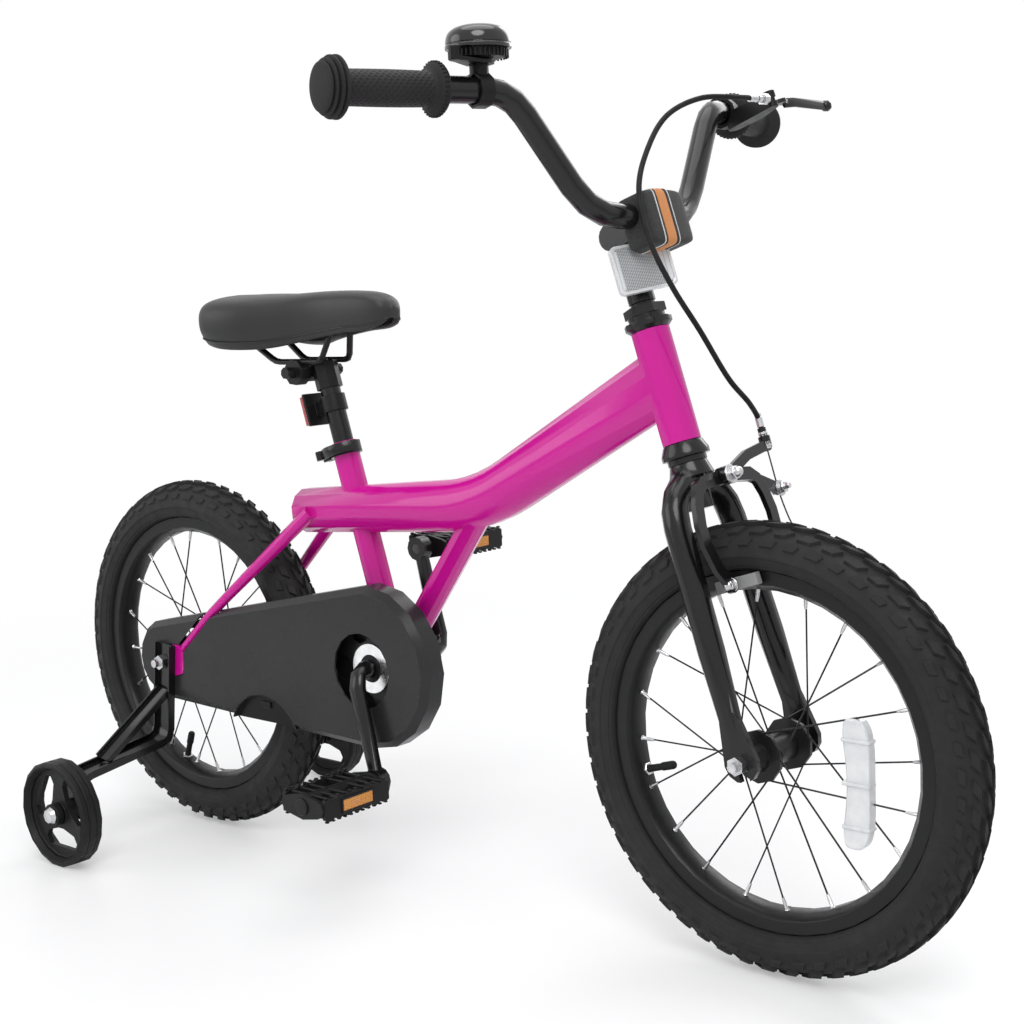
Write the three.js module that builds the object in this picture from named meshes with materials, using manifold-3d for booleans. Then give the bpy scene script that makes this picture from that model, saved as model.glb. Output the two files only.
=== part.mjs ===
// A child's 16 inch bicycle with training wheels, a coaster hub and a front side-pull brake.
// Millimetres. X points forward, Y to the rider's left, Z up.
// The origin is on the floor, in the middle of the rear tyre's lowest tread face.
import * as THREE from 'three';
import { mergeVertices } from 'three/addons/utils/BufferGeometryUtils.js';
import Module from 'manifold-3d';

const wasm = await Module();
wasm.setup();

// Sides that round forms are drawn with, from the widest to the thinnest.
const wide_sides = 16;
const round_sides = 12;
const small_sides = 8;
const nut_sides = 6;
const hub_sides = 10;
const cable_sides = 6;
const cable_steps = 28;

// Clearances shared by the whole bicycle
const fit_gap = 0.3;
const running_gap = 1;
const overrun = 5;
const weld_distance = 0.0005;

// Layout of the bicycle
const wheelbase = 783;
const tyre_radius = 205;
const tyre_width = 50;
const head_angle = 72.5;
const fork_offset = 4;
const seat_angle = 73.8;
const bracket_reach = 322.6;
const bracket_rise = 26.4;
const bracket_height = tyre_radius + bracket_rise;

// Frame tubes
const head_tube_over_tyre = 79;
const head_tube_low = tyre_radius + head_tube_over_tyre;
const head_tube_length = 105;
const head_tube_radius = 18;
const head_tube_bore = 15;
const main_tube_head_share = 0.56;
const main_tube_seat_height = 167;
const main_tube_level_run = 177;
const main_tube_level_angle = 4.4;
const main_tube_rear_run = 92;
const main_tube_rear_radius = 24.5;
const main_tube_front_radius = 30.5;
const main_tube_bend = 48;
const main_tube_nose = 9;
const main_tube_head_half_width = 17;
const main_tube_middle_half_width = 27;
const seat_tube_show = 73;
const seat_tube_length = main_tube_seat_height + seat_tube_show;
const seat_tube_radius = 14.3;
const down_tube_radius = 14;
const shell_radius = 29;
const shell_half_width = 34;
const shell_bore = 25.6;
const stay_radius = 8;
const stay_tip_share = 0.7;
const seat_stay_spread = 24;
const seat_stay_back = 60;
const seat_stay_drop = 11;
const seat_stay_elbow = 62;
const seat_stay_elbow_height = 54;
const stay_setback = 25;
const chain_stay_spread = 22;
const chain_stay_bow = 38;
const dropout_gap = 102;
const dropout_thickness = 6;
const dropout_radius = 19;
const dropout_slot = 10.4;

// Wheels
const spoke_count = 20;
const spoke_radius = 1;
const spoke_sides = 3;
const spoke_crossing_share = 1.6;
const spoke_lean = 56;
const spoke_rim_offset = 2;
const hub_flange_radius = 24;
const hub_flange_thickness = 4;
const hub_spread = 25;
const hub_barrel_radius = 14;
const hub_rear_barrel_radius = 19;
const tyre_height = 42;
const rim_radius = tyre_radius - tyre_height;
const rim_depth = 18;
const rim_inner_radius = rim_radius - rim_depth;
const rim_half_width = 15;
const rim_wall = 2.5;
const tread_depth = 3;
const axle_radius = 4.7;
const axle_nut_radius = 8.5;
const axle_nut_height = 9;
const axle_tip = 6;

// Drive
const link_pitch = 12.7;
const chainring_teeth = 36;
const sprocket_teeth = 18;
const roller_radius = 3.9;
const chain_line = 40;
const tooth_plate = 2.4;
const link_height = 8.4;
const link_outer_width = 7.6;
const link_inner_width = 5;
const crank_length = 112.4;
const crank_lean = 15.2;
const crank_plane = 70;
const spindle_radius = 10.5;
const arm_width = 10.5;
const arm_thickness = 6.5;
const eye_radius = 13;

// Pedals
const pedal_centre = 128;
const pedal_length = 92;
const pedal_depth = 62;
const pedal_height = 24;
const pedal_barrel_radius = 12;
const pedal_axle_radius = 6;
const pedal_rail = 5;
const pedal_teeth = 7;
const pedal_tooth_height = 2.5;

// Fork and steering
const steerer_radius = 12.7;
const crown_drop = 62;
const crown_height = head_tube_low - crown_drop;
const crown_spread = 42;
const blade_radius = 12.5;
const blade_spread_low = 51;
const fork_end_gap = 96;
const fork_end_thickness = 6;
const fork_end_width = 17;
const cup_radius = 22;
const cup_height = 14;
const race_height = 5;
const locknut_height = 8;
const quill_radius = 11.1;
const stem_show = 95.6;
const bar_clamp_height = head_tube_low + head_tube_length + stem_show;
const stem_over_bar = 5.4;
const stem_top = bar_clamp_height + stem_over_bar;
const column_radius = 12.5;

// Front brake
const caliper_drop = 40;
const caliper_height = head_tube_low - caliper_drop;
const caliper_reach = 34;
const caliper_arm_width = 6;
const caliper_arm_depth = 5;
const pad_gap = 2.5;
const pad_thickness = 8;
const pad_length = 44;
const pad_height = 11;
const adjuster_side = 74;
const adjuster_rise = 20;
const anchor_side = 82;
const anchor_drop = 21;
const caliper_shoulder = 53;

// Handlebar, measured from the middle of its clamp along the steering axes
const bar_clamp_reach = 33;
const bar_radius = 11.1;
const bar_half_width = 306;
const bar_straight_half = 26;
const bar_low_half = 70;
const bar_hand_run = 158;
const bar_high_half = bar_half_width - bar_hand_run;
const bar_rise = 109;
const bar_tip_rise = 121;
const bar_sweep = 44;
const bar_low_setback = 9.5;
const bar_low_bend = 34;
const bar_high_bend = 24;

// Brake lever, measured from the bar
const lever_from_end = 118;
const lever_side = bar_half_width - lever_from_end;
const lever_pivot_reach = 36;
const lever_reach = 60;
const lever_drop = 12;
const lever_tip_from_end = 22;
const lever_tip_side = bar_half_width - lever_tip_from_end;
const lever_thickness = 4;
const lever_height = 10;
const lever_ball = 6;
const barrel_inward = 16;
const barrel_side = lever_side - barrel_inward;
const barrel_radius = 4;
const barrel_length = 16;
const lever_pin_radius = 3;
const cable_radius = 2.5;
const wire_radius = 1;

// Bell
const bell_from_end = 131;
const bell_side = bar_half_width - bell_from_end;
const bell_radius = 27.5;
const bell_height = 20;
const bell_neck_radius = 8;
const bell_lever_reach = 38;
const bell_lever_thickness = 3;

// Front reflector and stem pad
const reflector_turn = 35;
const reflector_drop = 42.6;
const reflector_height = bar_clamp_height - reflector_drop;
const reflector_reach = 26;
const reflector_width = 54;
const reflector_tall = 44;
const reflector_thickness = 8;
const pad_half_width = 25;
const pad_half_tall = 26;
const pad_back = 12;
const pad_front = 37;

// Grips
const grip_length = 98;
const grip_radius = 14.5;
const grip_flange_radius = 22;
const grip_flange_thickness = 8;
const grip_knob_radius = 25;
const grip_knob_length = 22;

// Saddle and its post
const post_radius = 11.1;
const post_insert = 70;
const post_travel = 20;
const post_show = 78;
const post_top = seat_tube_length + post_show;
const saddle_length = 262;
const saddle_width = 146;
const saddle_skirt = 62;
const saddle_foam = 26;
const saddle_base_thickness = 9;
const saddle_wall = 6;
const rail_radius = 3.5;
const rail_spread = 21;
const clamp_set_back = 20;
const clamp_drop = 11;
const clamp_radius = 14;
const collar_height = 14;
const collar_wall = 3;
const seat_lever_thickness = 3;
const rear_reflector_rise = 43;
const rear_reflector_height = seat_tube_length + rear_reflector_rise;
const rear_reflector_width = 44;

// Coaster brake arm
const coaster_dip = 26;
const coaster_strap_share = 0.78;

// Training wheels
const trainer_radius = 58.6;
const trainer_width = 28;
const trainer_outer_face = 216;
const trainer_set_back = 18;
const bracket_width = 28;
const bracket_thickness = 4;
const bracket_flange = 9;
const bracket_over_axle = 21;
const bracket_corner_drop = 96;
const bracket_arm_drop = 22;
const brace_top_drop = 36;
const brace_side = 145;

// Chain guard
const guard_rear_radius = 46;
const guard_front_radius = 86;
const guard_face = 57;
const guard_back = 30;
const guard_wall = 2.4;
const guard_bevel = 7;
const guard_hole_radius = 40;
const guard_recess_centre = 164;
const guard_recess_radius = 60;

const degree = Math.PI / 180;

// The saddle goes with its clamp, which sits at the top of the post.
const clamp_over_post = 7;
const clamp_height = post_top + clamp_over_post;
const saddle_rise = 80.5;
const saddle_ahead = 118;
const saddle_top = bracket_height + clamp_height * Math.sin(seat_angle * degree) + saddle_rise;
const saddle_nose_reach = bracket_reach - clamp_height * Math.cos(seat_angle * degree) + saddle_ahead;
const saddle_tail_reach = saddle_nose_reach - saddle_length;
const rail_top = saddle_top - saddle_foam - saddle_base_thickness - rail_radius - 2 * fit_gap;

const steel = { roughness: 0.35, metalness: 0.9 };
const paint = { roughness: 0.25, metalness: 0.1 };
const plastic = { roughness: 0.5, metalness: 0 };
const rubber = { roughness: 0.85, metalness: 0 };
const magenta = 0xc8208f;
const black = 0x17171a;
const dark = 0x232326;
const silver = 0xb9bcc0;
const clear = 0xd8dce0;
const red = 0xb0181c;

const side_axis = vec(0, 1, 0);
const up_axis = vec(0, 0, 1);
const front_axis = vec(1, 0, 0);

function vec(x, y, z) {
  return new THREE.Vector3(x, y, z);
}

function flip(geometry) {
  const index = geometry.index.array;
  for (let i = 0; i < index.length; i += 3) {
    const first = index[i];
    index[i] = index[i + 1];
    index[i + 1] = first;
  }
  return geometry;
}

function signed_volume(geometry) {
  const place = geometry.attributes.position;
  const index = geometry.index.array;
  const corners = [vec(0, 0, 0), vec(0, 0, 0), vec(0, 0, 0)];
  let sum = 0;
  for (let i = 0; i < index.length; i += 3) {
    corners.forEach((corner, k) => corner.fromBufferAttribute(place, index[i + k]));
    sum += corners[0].dot(corners[1].clone().cross(corners[2]));
  }
  return sum;
}

// Shared corners become one corner, and every face looks out.
function closed(geometry) {
  const plain = geometry.clone();
  plain.deleteAttribute('normal');
  plain.deleteAttribute('uv');
  const merged = mergeVertices(plain, weld_distance);
  return signed_volume(merged) < 0 ? flip(merged) : merged;
}

function to_solid(geometry) {
  const body = closed(geometry);
  return new wasm.Manifold(new wasm.Mesh({
    numProp: 3,
    vertProperties: Float32Array.from(body.attributes.position.array),
    triVerts: Uint32Array.from(body.index.array),
  }));
}

function to_geometry(solid) {
  const mesh = solid.getMesh();
  const geometry = new THREE.BufferGeometry();
  geometry.setAttribute('position', new THREE.BufferAttribute(Float32Array.from(mesh.vertProperties), 3));
  geometry.setIndex(new THREE.BufferAttribute(Uint32Array.from(mesh.triVerts), 1));
  return geometry;
}

function join(...parts) {
  return to_geometry(parts.map(to_solid).reduce((sum, part) => sum.add(part)));
}

function cut(body, ...tools) {
  return to_geometry(tools.map(to_solid).reduce((rest, tool) => rest.subtract(tool), to_solid(body)));
}

function common(body, tool) {
  return to_geometry(to_solid(body).intersect(to_solid(tool)));
}

// A skin over rings of corners. The ends get flat caps, unless the rings run round in a loop.
function loft(rings, loop = false) {
  const sides = rings[0].length;
  const index = [];
  const spans = loop ? rings.length : rings.length - 1;
  for (let i = 0; i < spans; i += 1) {
    for (let j = 0; j < sides; j += 1) {
      const near = i * sides;
      const far = ((i + 1) % rings.length) * sides;
      const next = (j + 1) % sides;
      index.push(near + j, near + next, far + next, near + j, far + next, far + j);
    }
  }
  const last = (rings.length - 1) * sides;
  for (let j = 1; j < sides - 1 && !loop; j += 1) {
    index.push(0, j + 1, j, last, last + j, last + j + 1);
  }
  const geometry = new THREE.BufferGeometry();
  const corners = rings.flat().flatMap((corner) => corner.toArray());
  geometry.setAttribute('position', new THREE.BufferAttribute(new Float32Array(corners), 3));
  geometry.setIndex(new THREE.BufferAttribute(new Uint32Array(index), 1));
  return geometry;
}

// A line of points whose corners are rounded, each over its own length of setback.
function rounded(points, setbacks, steps = 4) {
  const path = [points[0]];
  for (let i = 1; i < points.length - 1; i += 1) {
    const into = points[i].clone().sub(points[i - 1]).setLength(setbacks[i - 1]);
    const out = points[i + 1].clone().sub(points[i]).setLength(setbacks[i - 1]);
    const start = points[i].clone().sub(into);
    const bend = new THREE.QuadraticBezierCurve3(start, points[i], points[i].clone().add(out));
    path.push(...bend.getPoints(steps));
  }
  path.push(points[points.length - 1]);
  return path;
}

// A tube through the points. wide lies along the reference direction, deep across it.
function pipe(points, wide, deep, sides, reference) {
  const rings = points.map((point, i) => {
    const tangent = vec(0, 0, 0);
    if (i > 0) tangent.add(point.clone().sub(points[i - 1]).normalize());
    if (i < points.length - 1) tangent.add(points[i + 1].clone().sub(point).normalize());
    tangent.normalize();
    const across = tangent.clone().cross(reference).normalize();
    const along = across.clone().cross(tangent).normalize();
    const a = Array.isArray(wide) ? wide[i] : wide;
    const b = Array.isArray(deep) ? deep[i] : deep;
    return Array.from({ length: sides }, (_, j) => {
      const turn = (2 * Math.PI * (j + 0.5)) / sides;
      const place = point.clone().addScaledVector(along, a * Math.cos(turn));
      return place.addScaledVector(across, b * Math.sin(turn));
    });
  });
  return loft(rings);
}

// A turned solid about Z from pairs of radius and height that start and end on the axis.
function turned(profile, sides) {
  const outline = profile.map(([radius, height]) => new THREE.Vector2(radius, height));
  return new THREE.LatheGeometry(outline, sides).rotateX(Math.PI / 2);
}

// Points the Z of a solid along an axis and moves its origin to a place.
function placed(geometry, place, axis = up_axis) {
  const turn = new THREE.Quaternion().setFromUnitVectors(up_axis, axis.clone().normalize());
  return geometry.applyQuaternion(turn).translate(place.x, place.y, place.z);
}

function rod(from, to, radius, sides, end_radius = radius) {
  const length = from.distanceTo(to);
  const profile = [[0, 0], [radius, 0], [end_radius, length], [0, length]];
  return placed(turned(profile, sides), from, to.clone().sub(from));
}

function block(from, to) {
  const size = to.clone().sub(from);
  const middle = from.clone().add(to).multiplyScalar(0.5);
  return new THREE.BoxGeometry(size.x, size.y, size.z).translate(middle.x, middle.y, middle.z);
}

// A flat plate whose outline is drawn in X and Z, and which reaches from one Y to a higher one.
function side_plate(shape, low_y, high_y, curve_steps = 6) {
  const options = { depth: high_y - low_y, bevelEnabled: false, curveSegments: curve_steps };
  return new THREE.ExtrudeGeometry(shape, options).rotateX(Math.PI / 2).translate(0, high_y, 0);
}

// The closed outline round circles of X, Z and radius that lie in clockwise or other order.
function belt_outline(circles, steps) {
  const cloud = circles.flatMap(([x, z, radius]) => Array.from({ length: steps }, (_, i) => {
    const turn = (2 * Math.PI * i) / steps;
    return new THREE.Vector2(x + radius * Math.cos(turn), z + radius * Math.sin(turn));
  }));
  return hull(cloud);
}

function hull(cloud) {
  const sorted = [...cloud].sort((a, b) => a.x - b.x || a.y - b.y);
  const turn = (o, a, b) => (a.x - o.x) * (b.y - o.y) - (a.y - o.y) * (b.x - o.x);
  const half = (list) => list.reduce((chain, point) => {
    while (chain.length > 1 && turn(chain.at(-2), chain.at(-1), point) <= 0) chain.pop();
    chain.push(point);
    return chain;
  }, []);
  const lower = half(sorted);
  const upper = half(sorted.reverse());
  return lower.slice(0, -1).concat(upper.slice(0, -1));
}

function piece(name, geometry, color, look, parent = bike) {
  const body = closed(geometry);
  body.computeVertexNormals();
  const mesh = new THREE.Mesh(body, new THREE.MeshStandardMaterial({ color, ...look }));
  mesh.name = name;
  parent.add(mesh);
  return mesh;
}

const bike = new THREE.Group();
const steering = new THREE.Group();
bike.add(steering);

// Places that the sub-parts share
const rear_axle = vec(0, 0, tyre_radius);
const front_axle = vec(wheelbase, 0, tyre_radius);
const bracket = vec(bracket_reach, 0, bracket_height);
const steer_up = vec(-Math.cos(head_angle * degree), 0, Math.sin(head_angle * degree));
const steer_forward = vec(Math.sin(head_angle * degree), 0, Math.cos(head_angle * degree));
const steer_foot = front_axle.clone().addScaledVector(steer_forward, -fork_offset);
const seat_up = vec(-Math.cos(seat_angle * degree), 0, Math.sin(seat_angle * degree));
steering.position.copy(steer_foot);
steering.rotation.y = (head_angle - 90) * degree;

function on_steer(height) {
  return steer_foot.clone().addScaledVector(steer_up, height);
}

function on_seat(height) {
  return bracket.clone().addScaledVector(seat_up, height);
}

function main_tube_path() {
  const crossing = on_seat(main_tube_seat_height);
  const level = vec(Math.cos(main_tube_level_angle * degree), 0, Math.sin(main_tube_level_angle * degree));
  const head = on_steer(head_tube_low + head_tube_length * main_tube_head_share);
  const rear = crossing.clone().addScaledVector(level, -main_tube_rear_run);
  const knee = crossing.clone().addScaledVector(level, main_tube_level_run);
  return { level, rear, knee, head };
}

// The main tube swells from its blunt rear end to the head tube.
function main_tube() {
  const { level, rear, knee, head } = main_tube_path();
  const shoulder = rear.clone().addScaledVector(level, main_tube_nose);
  const path = [rear, ...rounded([shoulder, knee, head], [main_tube_bend], 5)];
  const total = rear.distanceTo(knee) + knee.distanceTo(head);
  const heights = path.map((point, i) => {
    const share = i === path.length - 1 ? 1 : rear.distanceTo(point) / total;
    return main_tube_rear_radius + (main_tube_front_radius - main_tube_rear_radius) * share;
  });
  const widths = heights.map((height) => Math.min(height, main_tube_middle_half_width));
  widths[widths.length - 1] = main_tube_head_half_width;
  heights[0] -= main_tube_nose;
  widths[0] -= main_tube_nose;
  return pipe(path, widths, heights, round_sides, side_axis);
}

function dropout(side) {
  const inner = dropout_gap / 2;
  const shape = new THREE.Shape(belt_outline([
    [rear_axle.x - dropout_slot / 2, rear_axle.z, dropout_radius],
    [rear_axle.x + dropout_radius, rear_axle.z + seat_stay_drop, dropout_radius / 2],
    [rear_axle.x + dropout_radius, rear_axle.z - seat_stay_drop / 2, dropout_radius / 2],
  ], small_sides));
  const low = side > 0 ? inner : -inner - dropout_thickness;
  const plate = side_plate(shape, low, low + dropout_thickness);
  const middle = vec(rear_axle.x, low - overrun, rear_axle.z);
  const slot = block(
    vec(rear_axle.x - dropout_radius * 2, low - overrun, rear_axle.z - dropout_slot / 2),
    vec(rear_axle.x, low + dropout_thickness + overrun, rear_axle.z + dropout_slot / 2),
  );
  const through = vec(middle.x, low + dropout_thickness + overrun, middle.z);
  return cut(plate, join(slot, rod(middle, through, dropout_slot / 2, small_sides)));
}

// A seat stay leaves the side of the main tube, bows out round the chain and ends on the dropout.
function seat_stay_path(side) {
  const { level, rear } = main_tube_path();
  const high = rear.clone().addScaledVector(level, main_tube_nose + seat_stay_back / 2);
  high.y = side * seat_stay_spread;
  const low = vec(rear_axle.x + dropout_radius, (side * dropout_gap) / 2, rear_axle.z + seat_stay_drop);
  const elbow = low.clone().add(vec(seat_stay_elbow, 0, seat_stay_elbow_height));
  return rounded([high, elbow, low], [stay_setback], 2);
}

function chain_stay_ends(side) {
  const plane = (side * dropout_gap) / 2;
  const tip = vec(rear_axle.x + dropout_radius, plane, rear_axle.z - seat_stay_drop / 2);
  const bow = vec(tyre_radius - seat_stay_back, side * chain_stay_bow, rear_axle.z + stay_radius);
  const root = vec(bracket.x - shell_radius + stay_radius, side * chain_stay_spread, bracket.z);
  return { root, bow, tip };
}

function stays(side) {
  const seat_path = seat_stay_path(side);
  const tip_radius = stay_radius * stay_tip_share;
  const radii = seat_path.map((_, i) => (i ? tip_radius : stay_radius));
  const seat_stay = pipe(seat_path, radii, radii, small_sides, side_axis);
  const { root, bow, tip } = chain_stay_ends(side);
  const path = rounded([root, bow, tip], [stay_setback], 2);
  const narrow = path.map((_, i) => (i === path.length - 1 ? dropout_thickness / 2 : stay_radius));
  return [seat_stay, pipe(path, stay_radius, narrow, small_sides, up_axis)];
}

function make_frame() {
  const { knee } = main_tube_path();
  const head_low = on_steer(head_tube_low);
  const head_top = on_steer(head_tube_low + head_tube_length);
  const tubes = join(
    main_tube(),
    rod(head_low, head_top, head_tube_radius, wide_sides),
    rod(bracket, on_seat(seat_tube_length), seat_tube_radius, round_sides),
    rod(bracket, knee, down_tube_radius, small_sides),
    rod(
      vec(bracket.x, -shell_half_width, bracket.z),
      vec(bracket.x, shell_half_width, bracket.z),
      shell_radius,
      round_sides,
    ),
    ...stays(1),
    ...stays(-1),
    dropout(1),
    dropout(-1),
  );
  const shell_hole = rod(
    vec(bracket.x, -shell_half_width - overrun, bracket.z),
    vec(bracket.x, shell_half_width + overrun, bracket.z),
    shell_bore,
    round_sides,
  );
  const head_hole = rod(
    on_steer(head_tube_low - overrun),
    on_steer(head_tube_low + head_tube_length + overrun),
    head_tube_bore,
    wide_sides,
  );
  const post_hole = rod(
    on_seat(seat_tube_length - post_insert - post_travel),
    on_seat(seat_tube_length + overrun),
    post_radius + fit_gap,
    round_sides,
  );
  piece('frame', cut(tubes, shell_hole, head_hole, post_hole), magenta, paint);
}

const wheel_columns = 2 * spoke_count;

// A ring about the Y axis from pairs of Y and radius, with a flat facet at the very bottom.
function wheel_ring(section) {
  const step = (2 * Math.PI) / wheel_columns;
  const rings = Array.from({ length: wheel_columns }, (_, i) => {
    const turn = (i + 0.5) * step;
    return section(i).map(([y, radius]) => vec(radius * Math.sin(turn), y, -radius * Math.cos(turn)));
  });
  return loft(rings, true);
}

// Tyre section as shares of half its width and of its height over the rim.
const tyre_width_shares = [0.54, 1, 0.84, 0.3];
const tyre_height_shares = [0, 0.36, 0.78, 1];

function make_tyre(name, centre) {
  const facet = Math.cos(Math.PI / wheel_columns);
  const base = rim_radius + fit_gap;
  const height = tyre_radius / facet - base;
  const half = tyre_width_shares.map((share, k) => [
    (share * tyre_width) / 2,
    base + tyre_height_shares[k] * height,
  ]);
  const geometry = wheel_ring((i) => {
    const shoulder = half.map(([y, radius], k) => [y, k === 2 && i % 2 ? radius - tread_depth : radius]);
    return [...shoulder, ...shoulder.map(([y, radius]) => [-y, radius]).reverse()];
  });
  piece(name, geometry.translate(centre.x, centre.y, centre.z), dark, rubber);
}

function make_rim(name, centre) {
  const bed = rim_inner_radius + (rim_radius - rim_inner_radius) / 3;
  const floor = rim_half_width - 3 * rim_wall;
  const half = [[floor, rim_inner_radius], [rim_half_width, bed], [rim_half_width, rim_radius]];
  const geometry = wheel_ring(() => [...half, ...half.map(([y, radius]) => [-y, radius]).reverse()]);
  piece(name, geometry.translate(centre.x, centre.y, centre.z), black, plastic);
}

// One spoke from a flange to just short of the rim.
function spoke(k) {
  const turn = ((2 * k + 0.5) * 2 * Math.PI) / wheel_columns;
  const side = k % 2 ? 1 : -1;
  const lean = (Math.floor(k / 2) % 2 ? 1 : -1) * spoke_lean * degree;
  const at = (angle, radius, y) => vec(radius * Math.sin(angle), y, -radius * Math.cos(angle));
  const crossing = Math.sign(lean) * spoke_radius * spoke_crossing_share;
  const start = at(
    turn + lean,
    hub_flange_radius - hub_flange_thickness / 2,
    side * (hub_spread + crossing),
  );
  const end = at(turn, rim_inner_radius - 2 * fit_gap, side * spoke_rim_offset);
  return rod(start, end, spoke_radius, spoke_sides);
}

// A hub shell that turns on its axle. Flanges carry the spokes.
function make_hub(name, centre, low, high, barrel, barrel_color) {
  const bore = axle_radius + fit_gap;
  const flange = (y) => [
    [barrel, y - hub_flange_thickness],
    [hub_flange_radius, y - hub_flange_thickness / 2],
    [hub_flange_radius, y + hub_flange_thickness / 2],
    [barrel, y + hub_flange_thickness],
  ];
  const neck = axle_nut_radius + running_gap;
  const profile = [
    [bore, low],
    [neck, low],
    ...flange(-hub_spread),
    ...flange(hub_spread),
    [neck, high],
    [bore, high],
    [bore, low],
  ];
  const shell = turned(profile, hub_sides).rotateX(-Math.PI / 2);
  const spokes = Array.from({ length: spoke_count }, (_, k) => spoke(k));
  piece(name, join(shell, ...spokes).translate(centre.x, centre.y, centre.z), barrel_color, steel);
}

// An axle about Y with its cones inside the fork ends and its nuts outside them.
function axle(inner_gap, stack, collars, tip) {
  const inner = inner_gap / 2;
  const nut = inner + stack + fit_gap;
  const end = nut + axle_nut_height + tip;
  const middle = rod(vec(0, -end, 0), vec(0, end, 0), axle_radius, small_sides);
  const nuts = [1, -1].map((side) => {
    const from = vec(0, side * nut, 0);
    return rod(from, vec(0, side * (nut + axle_nut_height), 0), axle_nut_radius, nut_sides);
  });
  const cones = collars.map(
    ([from, to]) => rod(vec(0, from, 0), vec(0, to, 0), axle_nut_radius, small_sides),
  );
  return join(middle, ...nuts, ...cones);
}

const front_hub_half = fork_end_gap / 2 - 3 * running_gap;
const rear_hub_right = -(chain_line - tooth_plate - running_gap);
const rear_hub_left = dropout_gap / 2 - 3 * bracket_thickness;

function make_wheels() {
  make_tyre('rear_tyre', rear_axle);
  make_rim('rear_rim', rear_axle);
  make_hub('rear_hub', rear_axle, rear_hub_right, rear_hub_left, hub_rear_barrel_radius, silver);
  make_tyre('front_tyre', front_axle);
  make_rim('front_rim', front_axle);
  make_hub('front_hub', front_axle, -front_hub_half, front_hub_half, hub_barrel_radius, black);
  const cone_gap = fit_gap + running_gap;
  const front_cone = [front_hub_half + fit_gap, fork_end_gap / 2 - fit_gap];
  const front = axle(fork_end_gap, fork_end_thickness, [
    front_cone,
    front_cone.map((y) => -y).reverse(),
  ], axle_tip - running_gap);
  piece('front_axle', front.translate(front_axle.x, front_axle.y, front_axle.z), silver, steel);
  const rear_stack = dropout_thickness + fit_gap + bracket_thickness;
  const rear = axle(dropout_gap, rear_stack, [
    [-dropout_gap / 2 + fit_gap, -chain_line - tooth_plate - cone_gap],
    [rear_hub_left + bracket_thickness + 2 * fit_gap, dropout_gap / 2 - fit_gap],
  ], axle_tip + running_gap);
  piece('rear_axle', rear.translate(rear_axle.x, rear_axle.y, rear_axle.z), silver, steel);
}

const head_tube_high = head_tube_low + head_tube_length;
const crown_seat = head_tube_low - cup_height;
const headset_top = head_tube_high + cup_height;

function fork_blade(side) {
  const inner = fork_end_gap / 2;
  const end_plane = side * (inner + fork_end_thickness / 2);
  const path = rounded([
    vec(0, side * steerer_radius / 2, crown_seat - race_height - blade_radius - running_gap),
    vec(0, side * crown_spread, crown_height + blade_radius),
    vec(fork_offset / 2, side * (crown_spread + blade_spread_low) / 2, crown_height * 0.6),
    vec(fork_offset, end_plane, fork_end_width),
  ], [crown_spread * 0.6, crown_spread * 0.8], 3);
  const widths = path.map((point, i) => (i === path.length - 1 ? blade_radius * 0.9 : blade_radius));
  const depths = path.map((point, i) => (i === path.length - 1 ? fork_end_thickness / 2 : blade_radius));
  const blade = pipe(path, depths, widths, small_sides, side_axis);
  const outline = belt_outline([
    [fork_offset, 0, fork_end_width],
    [fork_offset, 2.2 * fork_end_width, fork_end_width * 0.6],
  ], round_sides);
  const low = side > 0 ? inner : -inner - fork_end_thickness;
  return [blade, side_plate(new THREE.Shape(outline), low, low + fork_end_thickness)];
}

function make_fork() {
  const top = headset_top + locknut_height;
  const bore = quill_radius + fit_gap;
  const depth = stem_top - bar_clamp_height + post_insert * 2;
  const steerer = [[0, crown_height], [steerer_radius, crown_height], [steerer_radius, top], [0, top]];
  const seat = [
    [0, crown_seat - cup_height * 1.3],
    [cup_radius - running_gap, crown_seat - cup_height * 1.3],
    [head_tube_radius - running_gap, crown_seat - race_height],
    [head_tube_radius, crown_seat - race_height],
    [head_tube_radius, crown_seat - fit_gap],
    [0, crown_seat - fit_gap],
  ];
  const body = join(
    turned(steerer, round_sides),
    turned(seat, round_sides),
    ...fork_blade(1),
    ...fork_blade(-1),
  );
  const hollow = rod(vec(0, 0, top - depth), vec(0, 0, top + overrun), bore, round_sides);
  const slot_radius = axle_radius + fit_gap;
  const slots = [1, -1].map((side) => {
    const low = side * (fork_end_gap / 2 - overrun);
    const high = side * (fork_end_gap / 2 + fork_end_thickness + overrun);
    const hole = rod(vec(fork_offset, low, 0), vec(fork_offset, high, 0), slot_radius, round_sides);
    const mouth = block(
      vec(fork_offset - slot_radius, Math.min(low, high), -fork_end_width - overrun),
      vec(fork_offset + slot_radius, Math.max(low, high), 0),
    );
    return join(hole, mouth);
  });
  const bolt = rod(vec(-blade_radius - overrun, 0, caliper_height), vec(caliper_reach, 0, caliper_height),
    caliper_arm_width / 2 + fit_gap, small_sides);
  piece('fork', cut(body, hollow, bolt, ...slots), black, paint, steering);
}

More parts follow.
